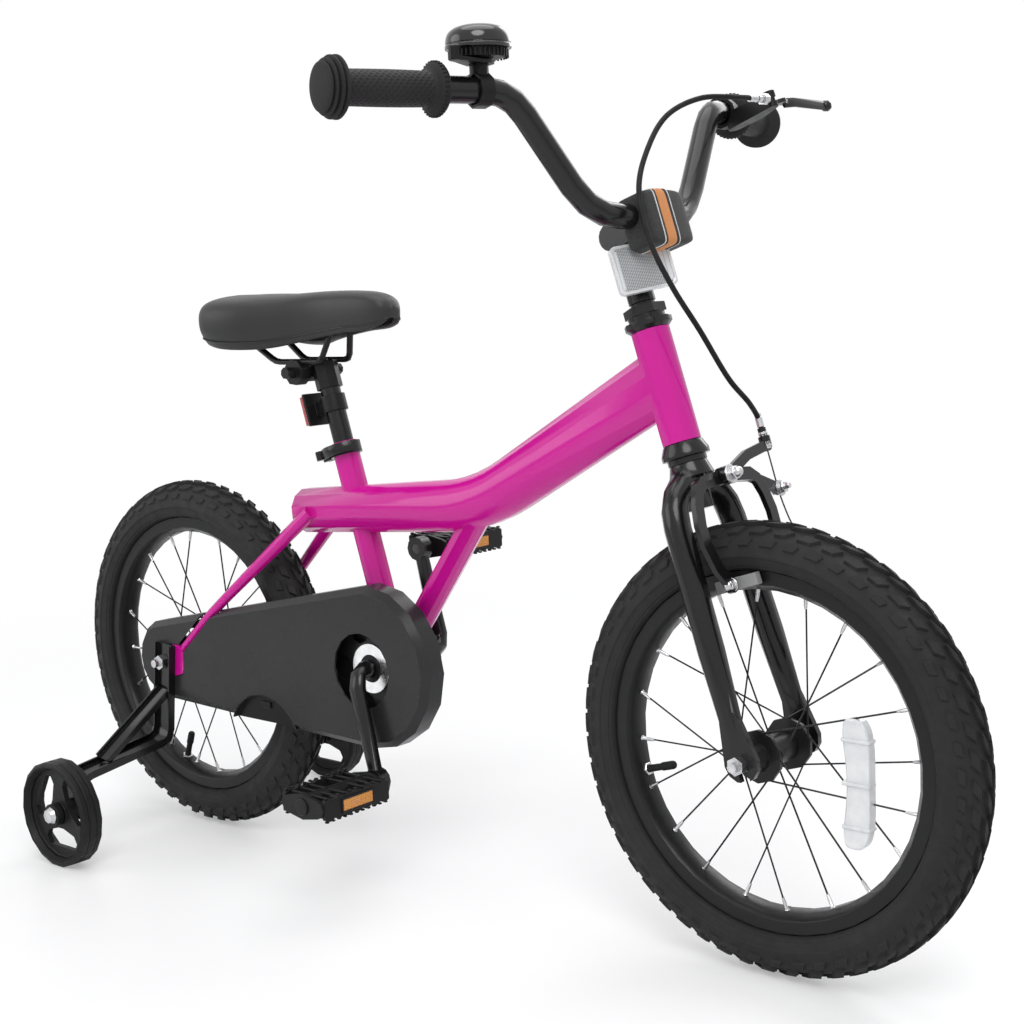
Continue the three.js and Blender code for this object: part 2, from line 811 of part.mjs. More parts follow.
// The two pressed cups stay with the frame. The threaded cone and its lock nut turn with the fork.
function make_headset() {
  const bore = steerer_radius + running_gap;
  const cup = (from, to, flip_side) => {
    const rim = flip_side ? to : from;
    const wide = flip_side ? to - race_height : from + race_height;
    const plug = flip_side ? from - cup_height : to + cup_height;
    return [
      [bore, rim],
      [cup_radius, rim],
      [cup_radius, wide],
      [head_tube_radius, flip_side ? from : to],
      [head_tube_bore - fit_gap, flip_side ? from : to],
      [head_tube_bore - fit_gap, plug],
      [bore, plug],
      [bore, rim],
    ];
  };
  const on_head = (name, profile, color) => {
    const body = turned(profile, round_sides);
    body.applyMatrix4(steering.matrix);
    piece(name, body, color, steel);
  };
  steering.updateMatrix();
  on_head('lower_head_cup', cup(crown_seat, head_tube_low - fit_gap, false), black);
  on_head('upper_head_cup', cup(head_tube_high + fit_gap, headset_top - race_height, true), black);
  const inner = steerer_radius + fit_gap;
  const cone_low = headset_top - race_height + fit_gap;
  const nut_low = headset_top + fit_gap;
  const nut_top = nut_low + locknut_height;
  const nut = rod(vec(0, 0, nut_low), vec(0, 0, nut_top), cup_radius - race_height / 2, nut_sides);
  const cone = rod(vec(0, 0, cone_low), vec(0, 0, nut_low), cup_radius - race_height, round_sides);
  const hole = rod(vec(0, 0, cone_low - overrun), vec(0, 0, nut_top + overrun), inner, round_sides);
  piece('headset_lock_nut', cut(join(nut, cone), hole), black, steel, steering);
}

function bar_point(forward, side, up) {
  return vec(bar_clamp_reach + forward, side, bar_clamp_height + up);
}

function bar_path(side) {
  return [
    bar_point(0, side * bar_straight_half, 0),
    bar_point(-bar_low_setback, side * bar_low_half, 3),
    bar_point(0, side * bar_high_half, bar_rise),
    bar_point(-bar_sweep, side * bar_half_width, bar_tip_rise),
  ];
}

function make_stem() {
  const foot = headset_top + locknut_height - post_insert;
  const column = [
    [0, foot],
    [quill_radius, foot],
    [quill_radius, headset_top + locknut_height * 1.5],
    [column_radius, headset_top + locknut_height * 1.5],
    [column_radius, stem_top],
    [0, stem_top],
  ];
  const hold = bar_radius + fit_gap;
  const wall = bar_radius / 2;
  const reach = bar_clamp_reach;
  const height = bar_clamp_height;
  const half = quill_radius * 1.9;
  const neck = new THREE.Shape(belt_outline([
    [0, stem_top - column_radius, column_radius],
    [reach, height, hold + wall],
  ], wide_sides));
  const cradle = side_plate(neck, -half, half);
  const tunnel = rod(
    vec(reach, -half - overrun, height),
    vec(reach, half + overrun, height),
    hold,
    wide_sides,
  );
  const mouth = block(
    vec(reach - hold * 1.6, -half - overrun, height),
    vec(reach + hold * 2 + overrun, half + overrun, height + hold * 3),
  );
  const body = cut(join(turned(column, round_sides), cradle), tunnel, mouth);
  piece('stem', body, black, paint, steering);
  const cap = cut(common(cradle, mouth), tunnel);
  piece('stem_cap', cap.translate(0, 0, fit_gap), black, paint, steering);
}

function make_handlebar() {
  const left = rounded(bar_path(1), [bar_low_bend, bar_high_bend], 3);
  const right = rounded(bar_path(-1), [bar_low_bend, bar_high_bend], 3).reverse();
  const path = right.concat(left);
  piece(
    'handlebar',
    pipe(path, bar_radius, bar_radius, round_sides, up_axis.clone().add(front_axis)),
    black,
    paint,
    steering,
  );
}

// A grip turned round the end of the bar, with its inner flange and its end knob.
function make_grip(name, side) {
  const [, , high, tip] = bar_path(side);
  const inward = high.clone().sub(tip).normalize();
  const bore = bar_radius + 2 * fit_gap;
  const knob = grip_knob_length;
  const body = knob + grip_length - grip_flange_thickness;
  const end = knob + grip_length;
  const waist = grip_radius;
  const profile = [
    [0, -fit_gap],
    [bore, -fit_gap],
    [bore, end - knob],
    [grip_flange_radius - 2, end - knob],
    [grip_flange_radius, end - knob - grip_flange_thickness / 2],
    [grip_flange_radius - 2, end - knob - grip_flange_thickness],
    [waist, body - knob - grip_flange_thickness / 2],
    [waist, knob / 3],
    [grip_knob_radius, knob / 4],
    [grip_knob_radius, 0],
    [grip_knob_radius * 0.92, -knob / 4],
    [grip_knob_radius * 0.84, -knob / 4],
    [grip_knob_radius * 0.6, -knob / 2],
    [0, -knob * 0.6],
  ];
  piece(
    name,
    placed(turned(profile, round_sides), tip.addScaledVector(inward, -fit_gap), inward),
    dark,
    rubber,
    steering,
  );
}

const chainring_pitch_radius = link_pitch / (2 * Math.sin(Math.PI / chainring_teeth));
const sprocket_pitch_radius = link_pitch / (2 * Math.sin(Math.PI / sprocket_teeth));
const chain_run = bracket.clone().sub(rear_axle);
const chain_distance = chain_run.length();
const chain_tilt = Math.atan2(chain_run.z, chain_run.x);
const chain_spread = Math.asin((chainring_pitch_radius - sprocket_pitch_radius) / chain_distance);
const chain_straight = chain_distance * Math.cos(chain_spread);
const front_wrap = chainring_pitch_radius * (Math.PI + 2 * chain_spread);
const rear_wrap = sprocket_pitch_radius * (Math.PI - 2 * chain_spread);
const chain_length = 2 * chain_straight + front_wrap + rear_wrap;
const link_count = 2 * Math.round(chain_length / link_pitch / 2);

// A place on the chain's loop and the way out of the loop there. Distance 0 is foremost on the chainring.
function chain_place(distance) {
  const along = ((distance % chain_length) + chain_length) % chain_length;
  const round = (centre, radius, turn, step) => {
    const out = vec(Math.cos(turn + step / radius), 0, Math.sin(turn + step / radius));
    return { place: centre.clone().addScaledVector(out, radius), out };
  };
  const half_front = front_wrap / 2;
  if (along < half_front) return round(bracket, chainring_pitch_radius, chain_tilt, along);
  const leave = chain_tilt + Math.PI / 2 + chain_spread;
  if (along < half_front + chain_straight) {
    const start = round(bracket, chainring_pitch_radius, leave, 0);
    const ahead = vec(-start.out.z, 0, start.out.x);
    return { place: start.place.addScaledVector(ahead, along - half_front), out: start.out };
  }
  const on_rear = along - half_front - chain_straight;
  if (on_rear < rear_wrap) return round(rear_axle, sprocket_pitch_radius, leave, on_rear);
  const back = chain_tilt - Math.PI / 2 - chain_spread;
  if (on_rear < rear_wrap + chain_straight) {
    const start = round(rear_axle, sprocket_pitch_radius, back, 0);
    const ahead = vec(-start.out.z, 0, start.out.x);
    return { place: start.place.addScaledVector(ahead, on_rear - rear_wrap), out: start.out };
  }
  return round(bracket, chainring_pitch_radius, chain_tilt, along - chain_length);
}

// The roller chain as one loop of cells: a roller across, then the window between two link plates.
// Wide outer links and narrow inner links take turns.
function make_chain() {
  const step = chain_length / link_count;
  const inner = (link_inner_width - 2 * fit_gap) / 2;
  const columns = [];
  for (let k = 0; k < link_count; k += 1) {
    [-1, 1].forEach((end) => {
      const { place, out } = chain_place(k * step + end * roller_radius);
      const link = end < 0 ? k - 1 : k;
      const outer = (link % 2 ? link_outer_width : link_outer_width - 2 * fit_gap * 4) / 2;
      columns.push([-outer, -inner, inner, outer].flatMap((y) => [-1, 1].map((level) => {
        const corner = place.clone().addScaledVector(out, (level * link_height) / 2);
        return corner.setY(y - chain_line);
      })));
    });
  }
  const index = [];
  const quad = (a, b, c, d) => index.push(a, b, c, a, c, d);
  columns.forEach((_, i) => {
    const here = 8 * i;
    const next = 8 * ((i + 1) % columns.length);
    const roller = i % 2 === 0;
    for (let cell = 0; cell < 3; cell += 1) {
      const low = 2 * cell;
      if (cell !== 1 || roller) {
        quad(here + low, here + low + 2, next + low + 2, next + low);
        quad(here + low + 1, next + low + 1, next + low + 3, here + low + 3);
      } else {
        quad(here + low, here + low + 1, next + low + 1, next + low);
        quad(here + low + 2, next + low + 2, next + low + 3, here + low + 3);
        quad(here + low, here + low + 2, here + low + 3, here + low + 1);
        quad(next + low, next + low + 1, next + low + 3, next + low + 2);
      }
    }
    quad(here, next, next + 1, here + 1);
    quad(here + 6, here + 7, next + 7, next + 6);
  });
  const geometry = new THREE.BufferGeometry();
  const corners = columns.flat().flatMap((corner) => corner.toArray());
  geometry.setAttribute('position', new THREE.BufferAttribute(new Float32Array(corners), 3));
  geometry.setIndex(new THREE.BufferAttribute(new Uint32Array(index), 1));
  piece('chain', geometry, silver, steel);
}

// Tooth outline round a wheel: a flat root for each roller and a slim tooth between two rollers.
function tooth_outline(teeth, pitch_radius, phase) {
  const root = pitch_radius - Math.max(roller_radius, link_height / 2) - fit_gap;
  const tip = pitch_radius + roller_radius * 0.6;
  const share_places = [[0.415, root], [0.5, tip], [0.585, root]];
  const points = [];
  for (let k = 0; k < teeth; k += 1) {
    share_places.forEach(([share, radius]) => {
      const turn = phase + ((k + share) * 2 * Math.PI) / teeth;
      points.push(new THREE.Vector2(radius * Math.cos(turn), radius * Math.sin(turn)));
    });
  }
  return points;
}

function round_hole(x, y, radius, steps = round_sides) {
  const hole = new THREE.Path();
  const points = Array.from({ length: steps }, (_, i) => {
    const turn = (2 * Math.PI * i) / steps;
    return new THREE.Vector2(x + radius * Math.cos(turn), y + radius * Math.sin(turn));
  });
  return hole.setFromPoints(points);
}

function make_chainring() {
  const shape = new THREE.Shape(tooth_outline(chainring_teeth, chainring_pitch_radius, chain_tilt));
  shape.holes.push(round_hole(0, 0, spindle_radius + fit_gap, round_sides));
  const arms = 5;
  const ring = (chainring_pitch_radius + spindle_radius) / 2;
  for (let k = 0; k < arms; k += 1) {
    const turn = chain_tilt + ((k + 0.5) * 2 * Math.PI) / arms;
    shape.holes.push(round_hole(ring * Math.cos(turn), ring * Math.sin(turn), ring / 3, small_sides));
  }
  const low = -chain_line - tooth_plate / 2;
  const plate = side_plate(shape, low, low + tooth_plate);
  piece('chainring', plate.translate(bracket.x, 0, bracket.z), dark, steel);
}

function make_sprocket() {
  const step = chain_length / link_count;
  const nearest = Math.round(chain_length / 2 / step) * step;
  const { out } = chain_place(nearest);
  const phase = Math.atan2(out.z, out.x);
  const shape = new THREE.Shape(tooth_outline(sprocket_teeth, sprocket_pitch_radius, phase));
  shape.holes.push(round_hole(0, 0, axle_radius + 2 * fit_gap, round_sides));
  const low = -chain_line - tooth_plate / 2;
  const plate = side_plate(shape, low, low + tooth_plate);
  piece('rear_sprocket', plate.translate(rear_axle.x, 0, rear_axle.z), silver, steel);
}

const crank_down = vec(Math.sin(crank_lean * degree), 0, -Math.cos(crank_lean * degree));

function eye(side) {
  const place = bracket.clone().addScaledVector(crank_down, -side * crank_length);
  return place.setY(side * crank_plane);
}

// The one-piece crank runs from one pedal eye through the bottom bracket to the other.
function make_crank() {
  const half = (side) => {
    const end = eye(side);
    const root = bracket.clone().setY(side * (crank_plane - arm_thickness / 2));
    const middle = bracket.clone().setY(side * arm_thickness);
    return rounded([end, root, middle], [spindle_radius * 1.6], 2);
  };
  const right = half(-1);
  const left = half(1).reverse();
  const path = right.concat(left);
  const last = path.length - 1;
  const spread = (ends, root, middle) => path.map((_, i) => {
    const from_end = Math.min(i, last - i);
    if (from_end === 0) return ends;
    return from_end < 3 ? root : middle;
  });
  const reference = crank_down.clone().cross(side_axis);
  const bar = pipe(path, spread(arm_width * 0.8, arm_width, spindle_radius),
    spread(arm_thickness, arm_thickness * 1.2, spindle_radius), small_sides, reference);
  const eyes = [1, -1].map((side) => {
    const middle = eye(side);
    const inner = middle.clone().setY(side * (crank_plane - arm_thickness));
    return rod(inner, middle.setY(side * (crank_plane + arm_thickness)), eye_radius, round_sides);
  });
  const holes = [1, -1].map((side) => {
    const inner = eye(side).setY(side * (crank_plane - arm_thickness - overrun));
    return rod(
      inner,
      eye(side).setY(side * (crank_plane + arm_thickness + overrun)),
      pedal_axle_radius + fit_gap,
      small_sides,
    );
  });
  piece('crank', cut(join(bar, ...eyes), ...holes), black, paint);
}

function make_bracket_cups() {
  [['bracket_cup_right', -1], ['bracket_cup_left', 1]].forEach(([name, side]) => {
    const bore = spindle_radius + running_gap;
    const outer = shell_half_width + tooth_plate;
    const profile = [
      [bore, shell_half_width - cup_height],
      [shell_bore - fit_gap, shell_half_width - cup_height],
      [shell_bore - fit_gap, shell_half_width + fit_gap],
      [shell_radius - running_gap, shell_half_width + fit_gap],
      [shell_radius - 2 * running_gap, outer],
      [bore, outer - running_gap],
      [bore, shell_half_width - cup_height],
    ];
    const cup = placed(turned(profile, round_sides), bracket, side_axis.clone().multiplyScalar(side));
    piece(name, cup, silver, steel);
  });
}

// A platform pedal: a barrel, two toothed rails and the end caps that join them.
function make_pedal(side_name, side) {
  const centre = eye(side).setY(side * pedal_centre);
  const half = pedal_length / 2;
  const depth = pedal_depth / 2;
  const tall = pedal_height / 2;
  const rail_half = half - pedal_rail / 2;
  const rail_ring = (front, k) => {
    const along = -rail_half + (k * rail_half) / pedal_teeth;
    const height = tall - (k % 2 ? 0 : pedal_tooth_height);
    const outer = front * depth;
    const inner = front * (depth - pedal_rail);
    const upper = [vec(outer, along, height), vec(inner, along, height)];
    return [...upper, vec(inner, along, -height), vec(outer, along, -height)];
  };
  const rails = [1, -1].map((front) => (
    loft(Array.from({ length: 2 * pedal_teeth + 1 }, (_, k) => rail_ring(front, k)))
  ));
  const caps = [1, -1].map((end) => {
    const low = end > 0 ? half - pedal_rail : -half;
    const shape = new THREE.Shape(belt_outline([
      [-depth + tall * 0.75 + running_gap, 0, tall * 0.75],
      [depth - tall * 0.75 - running_gap, 0, tall * 0.75],
      [0, 0, pedal_barrel_radius + running_gap],
    ], small_sides));
    return side_plate(shape, low, low + pedal_rail);
  });
  const barrel = rod(vec(0, -rail_half, 0), vec(0, rail_half, 0), pedal_barrel_radius, small_sides);
  const bore = rod(
    vec(0, -half - overrun, 0),
    vec(0, half + overrun, 0),
    pedal_axle_radius + 2 * fit_gap,
    round_sides,
  );
  const body = cut(join(...rails, ...caps, barrel), bore);
  piece('pedal_' + side_name, body.translate(centre.x, centre.y, centre.z), black, plastic);
  const inner = side * (crank_plane - arm_thickness);
  const outer = side * (pedal_centre + half - pedal_rail);
  const stop = side * (pedal_centre - half - fit_gap);
  const from = eye(side).setY(inner);
  const collar_from = eye(side).setY(side * (crank_plane + arm_thickness + fit_gap));
  const pin = join(
    rod(from, eye(side).setY(outer), pedal_axle_radius, small_sides),
    rod(collar_from, eye(side).setY(stop), pedal_axle_radius * 1.5, nut_sides),
  );
  piece('pedal_axle_' + side_name, pin, silver, steel);
}

// The chain guard: a dished cover with a bevelled rim, open at the back.
function make_guard() {
  const rear = [rear_axle.x - dropout_slot, rear_axle.z];
  const front = [bracket.x + guard_bevel, bracket.z + guard_bevel / 2];
  const outline = (inset, y) => belt_outline([
    [...rear, guard_rear_radius - inset],
    [...front, guard_front_radius - inset],
  ], wide_sides).map((point) => vec(point.x, y, point.y));
  const shell = loft([
    outline(0, -guard_back),
    outline(0, -guard_face + guard_bevel),
    outline(guard_bevel, -guard_face),
  ]);
  const hollow = loft([
    outline(guard_wall, -guard_back + overrun),
    outline(guard_wall, -guard_face + guard_bevel + guard_wall),
    outline(guard_bevel + guard_wall, -guard_face + guard_wall),
  ]);
  const low = -guard_face - overrun;
  const hole = rod(
    vec(bracket.x, low, bracket.z),
    vec(bracket.x, -guard_back, bracket.z),
    guard_hole_radius,
    wide_sides,
  );
  const axle_slot = side_plate(new THREE.Shape(belt_outline([
    [rear_axle.x - dropout_slot / 2, rear_axle.z, dropout_radius + running_gap],
    [rear_axle.x + dropout_radius, rear_axle.z + seat_stay_drop, dropout_radius / 2 + running_gap],
    [rear_axle.x + dropout_radius, rear_axle.z - seat_stay_drop / 2, dropout_radius / 2 + running_gap],
  ], small_sides)), low, -guard_face + guard_bevel);
  const wide = stay_radius + running_gap;
  const notch = pipe(seat_stay_path(-1), wide, wide, small_sides, side_axis);
  const open = notch.clone().translate(0, 2 * wide, 0);
  const guard_recess_height = rear_axle.z - guard_rear_radius - guard_recess_radius * 0.55;
  const recess = side_plate(new THREE.Shape(belt_outline([
    [rear_axle.x + guard_recess_centre, guard_recess_height, guard_recess_radius],
  ], wide_sides)), low, -guard_back + overrun);
  const body = cut(shell, hollow, hole, axle_slot, notch, open, recess);
  piece('chain_guard', body, black, plastic);
}

const bar_up = vec(Math.cos(head_angle * degree), 0, Math.sin(head_angle * degree));

// A place on the grip end of the bar at a given distance from the middle.
function on_bar(side, distance) {
  const [, , high, tip] = bar_path(side);
  return high.lerp(tip, (distance - bar_high_half) / (bar_half_width - bar_high_half));
}

function bar_direction(side) {
  const [, , high, tip] = bar_path(side);
  return tip.sub(high).normalize();
}

// A flat plate whose outline is drawn in X and Y, between two heights.
function level_plate(outline, low, high) {
  const options = { depth: high - low, bevelEnabled: false };
  return new THREE.ExtrudeGeometry(new THREE.Shape(outline), options).translate(0, 0, low);
}

function make_brake_lever() {
  const bar = on_bar(1, lever_side);
  const direction = bar_direction(1);
  const level = bar.z - lever_drop;
  const pivot = vec(bar.x + lever_pivot_reach, lever_side, level);
  const blade_line = bar.x + lever_reach;
  const ear = lever_height * 0.8;
  const ring = (radius) => rod(
    bar.clone().addScaledVector(direction, -ear),
    bar.clone().addScaledVector(direction, ear),
    radius,
    round_sides,
  );
  const body = level_plate(belt_outline([
    [bar.x + bar_radius, lever_side, ear],
    [pivot.x, pivot.y, ear],
    [blade_line, barrel_side + ear, ear * 0.7],
  ], round_sides), level - ear, level + ear);
  const tunnel = rod(
    bar.clone().addScaledVector(direction, -lever_height * 4),
    bar.clone().addScaledVector(direction, lever_height * 4),
    bar_radius + running_gap,
    round_sides,
  );
  const slot = block(
    vec(pivot.x - ear - running_gap, lever_side - ear - running_gap, level - lever_thickness / 2 - fit_gap),
    vec(blade_line + ear * 2, lever_side + ear * 3, level + lever_thickness / 2 + fit_gap),
  );
  const cable_hole = rod(vec(blade_line, barrel_side - lever_height * 2, level),
    vec(blade_line, barrel_side + lever_height, level), barrel_radius * 0.7, small_sides);
  const pin_end = (height, radius) => {
    const low_end = vec(pivot.x, pivot.y, level - height);
    return rod(low_end, vec(pivot.x, pivot.y, level + height), radius, small_sides);
  };
  const bracket_body = cut(join(ring(bar_radius * 1.4), body), tunnel, slot, cable_hole);
  piece('brake_bracket', join(bracket_body, pin_end(ear, lever_pin_radius)), black, plastic, steering);
  const pin_hole = pin_end(ear, lever_pin_radius + fit_gap);
  const root = level_plate(belt_outline([
    [pivot.x, pivot.y, ear * 0.9],
    [blade_line, pivot.y + ear * 1.6, lever_thickness],
  ], small_sides), level - lever_thickness / 2, level + lever_thickness / 2);
  const blade = pipe([
    vec(blade_line - lever_thickness, pivot.y + ear * 2.6, level),
    vec(blade_line, pivot.y + lever_height * 3.4, level),
    vec(blade_line, lever_tip_side, level),
  ], lever_height / 2, lever_thickness / 2, small_sides, up_axis);
  const link = level_plate(belt_outline([
    [blade_line - lever_thickness / 2, pivot.y + ear * 1.6, lever_thickness],
    [blade_line - lever_thickness / 2, pivot.y + ear * 3, lever_thickness / 2],
  ], small_sides), level - lever_thickness / 2, level + lever_thickness / 2);
  const ball = new THREE.SphereGeometry(lever_ball, small_sides, nut_sides);
  ball.translate(blade_line, lever_tip_side, level);
  piece('brake_lever', cut(join(root, blade, link, ball), pin_hole), black, plastic, steering);
}

// A knurled barrel along +Z that a cable housing ends in.
function barrel() {
  const bore = wire_radius + fit_gap;
  return turned([
    [bore, 0],
    [barrel_radius * 1.4, 0],
    [barrel_radius * 1.4, barrel_length / 2],
    [barrel_radius, barrel_length / 2],
    [barrel_radius, barrel_length],
    [bore, barrel_length],
    [bore, 0],
  ], small_sides);
}

// Where the barrel on the lever starts, and where the one on the caliper stands, seen from the fork.
function lever_barrel_place() {
  const bar = on_bar(1, lever_side);
  return vec(bar.x + lever_reach, barrel_side - fit_gap, bar.z - lever_drop);
}

const caliper_far_plane = caliper_reach + caliper_arm_depth / 2 + fit_gap;
const caliper_barrel_place = vec(caliper_far_plane, adjuster_side, caliper_height + adjuster_rise);

function make_lever_adjuster() {
  piece('lever_adjuster', placed(barrel(), lever_barrel_place(), vec(0, -1, 0)), silver, steel, steering);
}

// The cable housing hangs in one free bow from the lever to the caliper, in front of the stem. At each share
// of the way down it stands forward by a length, and sideways by a share of the lever's distance from the middle.
const cable_way_shares = [0.003, 0.01, 0.066, 0.171, 0.29, 0.434, 0.563, 0.695, 0.846, 0.922];
const cable_forward = [0, -11, -20, -21, -17, -8, 2, 6, 5, 3];
const cable_side_shares = [-0.199, -0.495, -0.759, -0.946, -1.062, -1.042, -0.927, -0.689, -0.38, -0.154];

function make_cable() {
  steering.updateMatrix();
  const reach = barrel_length + fit_gap;
  const first = lever_barrel_place().add(vec(0, -reach, 0)).applyMatrix4(steering.matrix);
  const last = caliper_barrel_place.clone().add(vec(0, 0, reach)).applyMatrix4(steering.matrix);
  const lead = last.clone().addScaledVector(steer_up, barrel_length / 2);
  const bow = cable_way_shares.map((share, i) => (
    first.clone().lerp(last, share).add(vec(cable_forward[i], cable_side_shares[i] * first.y, 0))
  ));
  const points = [first, ...bow, lead, last];
  const curve = new THREE.CatmullRomCurve3(points, false, 'centripetal');
  const section = new THREE.Shape(belt_outline([[0, 0, cable_radius]], cable_sides));
  const way = { steps: cable_steps, bevelEnabled: false, extrudePath: curve };
  const geometry = new THREE.ExtrudeGeometry(section, way);
  piece('brake_cable', geometry, black, rubber);
}

// One arm of the side-pull caliper in the plane across the fork, from its lever eye to its brake shoe.
function caliper_arm(side, lever_end) {
  const shoe_side = side * (rim_half_width + pad_gap + pad_thickness + fit_gap + caliper_arm_width * 1.2);
  const shoulder = side * caliper_shoulder;
  const pivot = vec(0, 0, caliper_height);
  const shoe_height = (rim_radius + rim_inner_radius) / 2 - fork_offset;
  const bow = rounded([
    pivot,
    vec(shoulder * 0.75, 0, caliper_height - caliper_arm_width * 0.5),
    vec(shoulder, 0, caliper_height - caliper_shoulder * 0.55),
    vec(shoulder * 0.98, 0, shoe_height + caliper_shoulder * 0.5),
    vec(shoe_side, 0, shoe_height),
  ], [caliper_arm_width, caliper_arm_width * 1.5, caliper_arm_width * 2], 1);
  const reach = [pivot, ...lever_end];
  const flat = (points, wide) => points.map((point, i) => {
    const before = points[Math.max(i - 1, 0)];
    const after = points[Math.min(i + 1, points.length - 1)];
    const normal = after.clone().sub(before).normalize().cross(side_axis);
    return [point.clone().addScaledVector(normal, wide), point.clone().addScaledVector(normal, -wide)];
  });
  const ribbon = (points, wide) => {
    const edges = flat(points, wide);
    const outline = edges.map(([one]) => one).concat(edges.map(([, two]) => two).reverse());
    return side_plate(new THREE.Shape(outline.map((point) => new THREE.Vector2(point.x, point.z))),
      -caliper_arm_depth / 2, caliper_arm_depth / 2);
  };
  const disc = (point, radius) => rod(point.clone().setY(-caliper_arm_depth / 2),
    point.clone().setY(caliper_arm_depth / 2), radius, round_sides);
  const parts = [
    ribbon(bow, caliper_arm_width),
    ribbon(reach, caliper_arm_width * 0.8),
    disc(pivot, caliper_arm_width * 1.4),
    disc(bow[bow.length - 1], caliper_arm_width * 1.2),
    disc(reach[reach.length - 1], caliper_arm_width),
  ];
  const hole = rod(pivot.clone().setY(-overrun * 2), pivot.clone().setY(overrun * 2),
    caliper_arm_width / 2 + fit_gap, small_sides);
  const eye_place = reach[reach.length - 1];
  const eye_hole = rod(
    eye_place.clone().setY(-overrun * 2),
    eye_place.clone().setY(overrun * 2),
    wire_radius * 2,
    small_sides,
  );
  return { body: cut(join(...parts), hole, eye_hole), shoe_height, shoe_side };
}

// Turns a shape drawn in X and Z about the fork's height so that X becomes the rider's left.
function across(geometry, reach) {
  return geometry.rotateZ(Math.PI / 2).translate(reach, 0, 0);
}

function make_caliper() {
  const near_plane = caliper_reach - caliper_arm_depth / 2 - fit_gap;
  const far_plane = caliper_far_plane;
  const upper = [
    vec(adjuster_side / 2, 0, caliper_height + adjuster_rise * 0.7),
    vec(adjuster_side, 0, caliper_height + adjuster_rise),
  ];
  const lower = [
    vec(anchor_side / 2, 0, caliper_height - anchor_drop * 0.2),
    vec(anchor_side, 0, caliper_height - anchor_drop),
  ];
  const right = caliper_arm(-1, lower);
  const left = caliper_arm(1, upper);
  const adjuster = barrel().translate(caliper_far_plane, adjuster_side, caliper_height + adjuster_rise);
  piece('caliper_arm_right', across(right.body, near_plane), black, steel, steering);
  piece('caliper_arm_left', join(across(left.body, far_plane), adjuster), black, steel, steering);
  [['brake_shoe_right', right, near_plane, -1], ['brake_shoe_left', left, far_plane, 1]].forEach(
    ([name, arm, plane, side]) => {
      const inner = side * (rim_half_width + pad_gap);
      const low = Math.min(inner, inner + side * pad_thickness);
      const half = pad_height / 2;
      const pad = block(
        vec(plane - pad_length / 2, low, arm.shoe_height - half),
        vec(plane + pad_length / 2, low + pad_thickness, arm.shoe_height + half),
      );
      piece(name, pad, dark, rubber, steering);
    },
  );
  const bolt = rod(vec(steerer_radius + running_gap, 0, caliper_height),
    vec(far_plane + caliper_arm_depth * 2, 0, caliper_height), caliper_arm_width / 2, small_sides);
  const washer = rod(vec(blade_radius + cup_height / 2, 0, caliper_height),
    vec(near_plane - caliper_arm_depth / 2 - fit_gap, 0, caliper_height), caliper_arm_width, small_sides);
  const nut = rod(vec(far_plane + caliper_arm_depth / 2 + fit_gap, 0, caliper_height),
    vec(far_plane + caliper_arm_depth * 1.7, 0, caliper_height), caliper_arm_width, nut_sides);
  piece('caliper_bolt', join(bolt, washer, nut), silver, steel, steering);
}

// The bell: a clamp and cup on the bar, a dome on the cup and a thumb lever round the neck.
function make_bell() {
  const bar = on_bar(-1, bell_side);
  const direction = bar_direction(-1);
  const half = bell_neck_radius * 0.8;
  const ring = (radius, length) => rod(
    bar.clone().addScaledVector(direction, -length),
    bar.clone().addScaledVector(direction, length),
    radius,
    small_sides,
  );
  const neck_top = bar_radius * 2.2;
  const cup = placed(turned([
    [0, 0],
    [bell_neck_radius, 0],
    [bell_neck_radius, neck_top],
    [bell_radius * 0.8, neck_top + running_gap],
    [bell_radius * 0.88, neck_top + bell_height * 0.4],
    [0, neck_top + bell_height * 0.4],
  ], small_sides), bar, bar_up);
  const base = cut(
    join(ring(bar_radius * 1.35, half), cup),
    ring(bar_radius + 1.5 * running_gap, half * 4),
  );
  piece('bell_base', base, black, plastic, steering);
  const low = neck_top + bell_height * 0.4 + fit_gap;
  const dome = turned([
    [0, low],
    [bell_radius, low],
    [bell_radius, low + bell_height * 0.2],
    [bell_radius * 0.88, low + bell_height * 0.6],
    [bell_radius * 0.55, low + bell_height * 0.92],
    [bell_radius * 0.2, low + bell_height],
    [0, low + bell_height],
  ], wide_sides);
  piece('bell_dome', placed(dome, bar, bar_up), black, steel, steering);
  const high = neck_top - running_gap;
  const flat = high - bell_lever_thickness;
  const arm = level_plate(belt_outline([
    [0, 0, bell_neck_radius * 1.6],
    [bell_radius * 0.3, -bell_lever_reach, bell_neck_radius * 0.6],
  ], small_sides), flat, high);
  const thumb = rod(
    vec(bell_radius * 0.3, -bell_lever_reach, flat),
    vec(bell_radius * 0.3, -bell_lever_reach, high + bell_neck_radius),
    bell_neck_radius * 0.6,
    small_sides,
  );
  const opening = rod(
    vec(0, 0, flat - overrun),
    vec(0, 0, high + overrun),
    bell_neck_radius + 2 * fit_gap,
    round_sides,
  );
  piece('bell_lever', placed(cut(join(arm, thumb), opening), bar, bar_up), dark, plastic, steering);
}

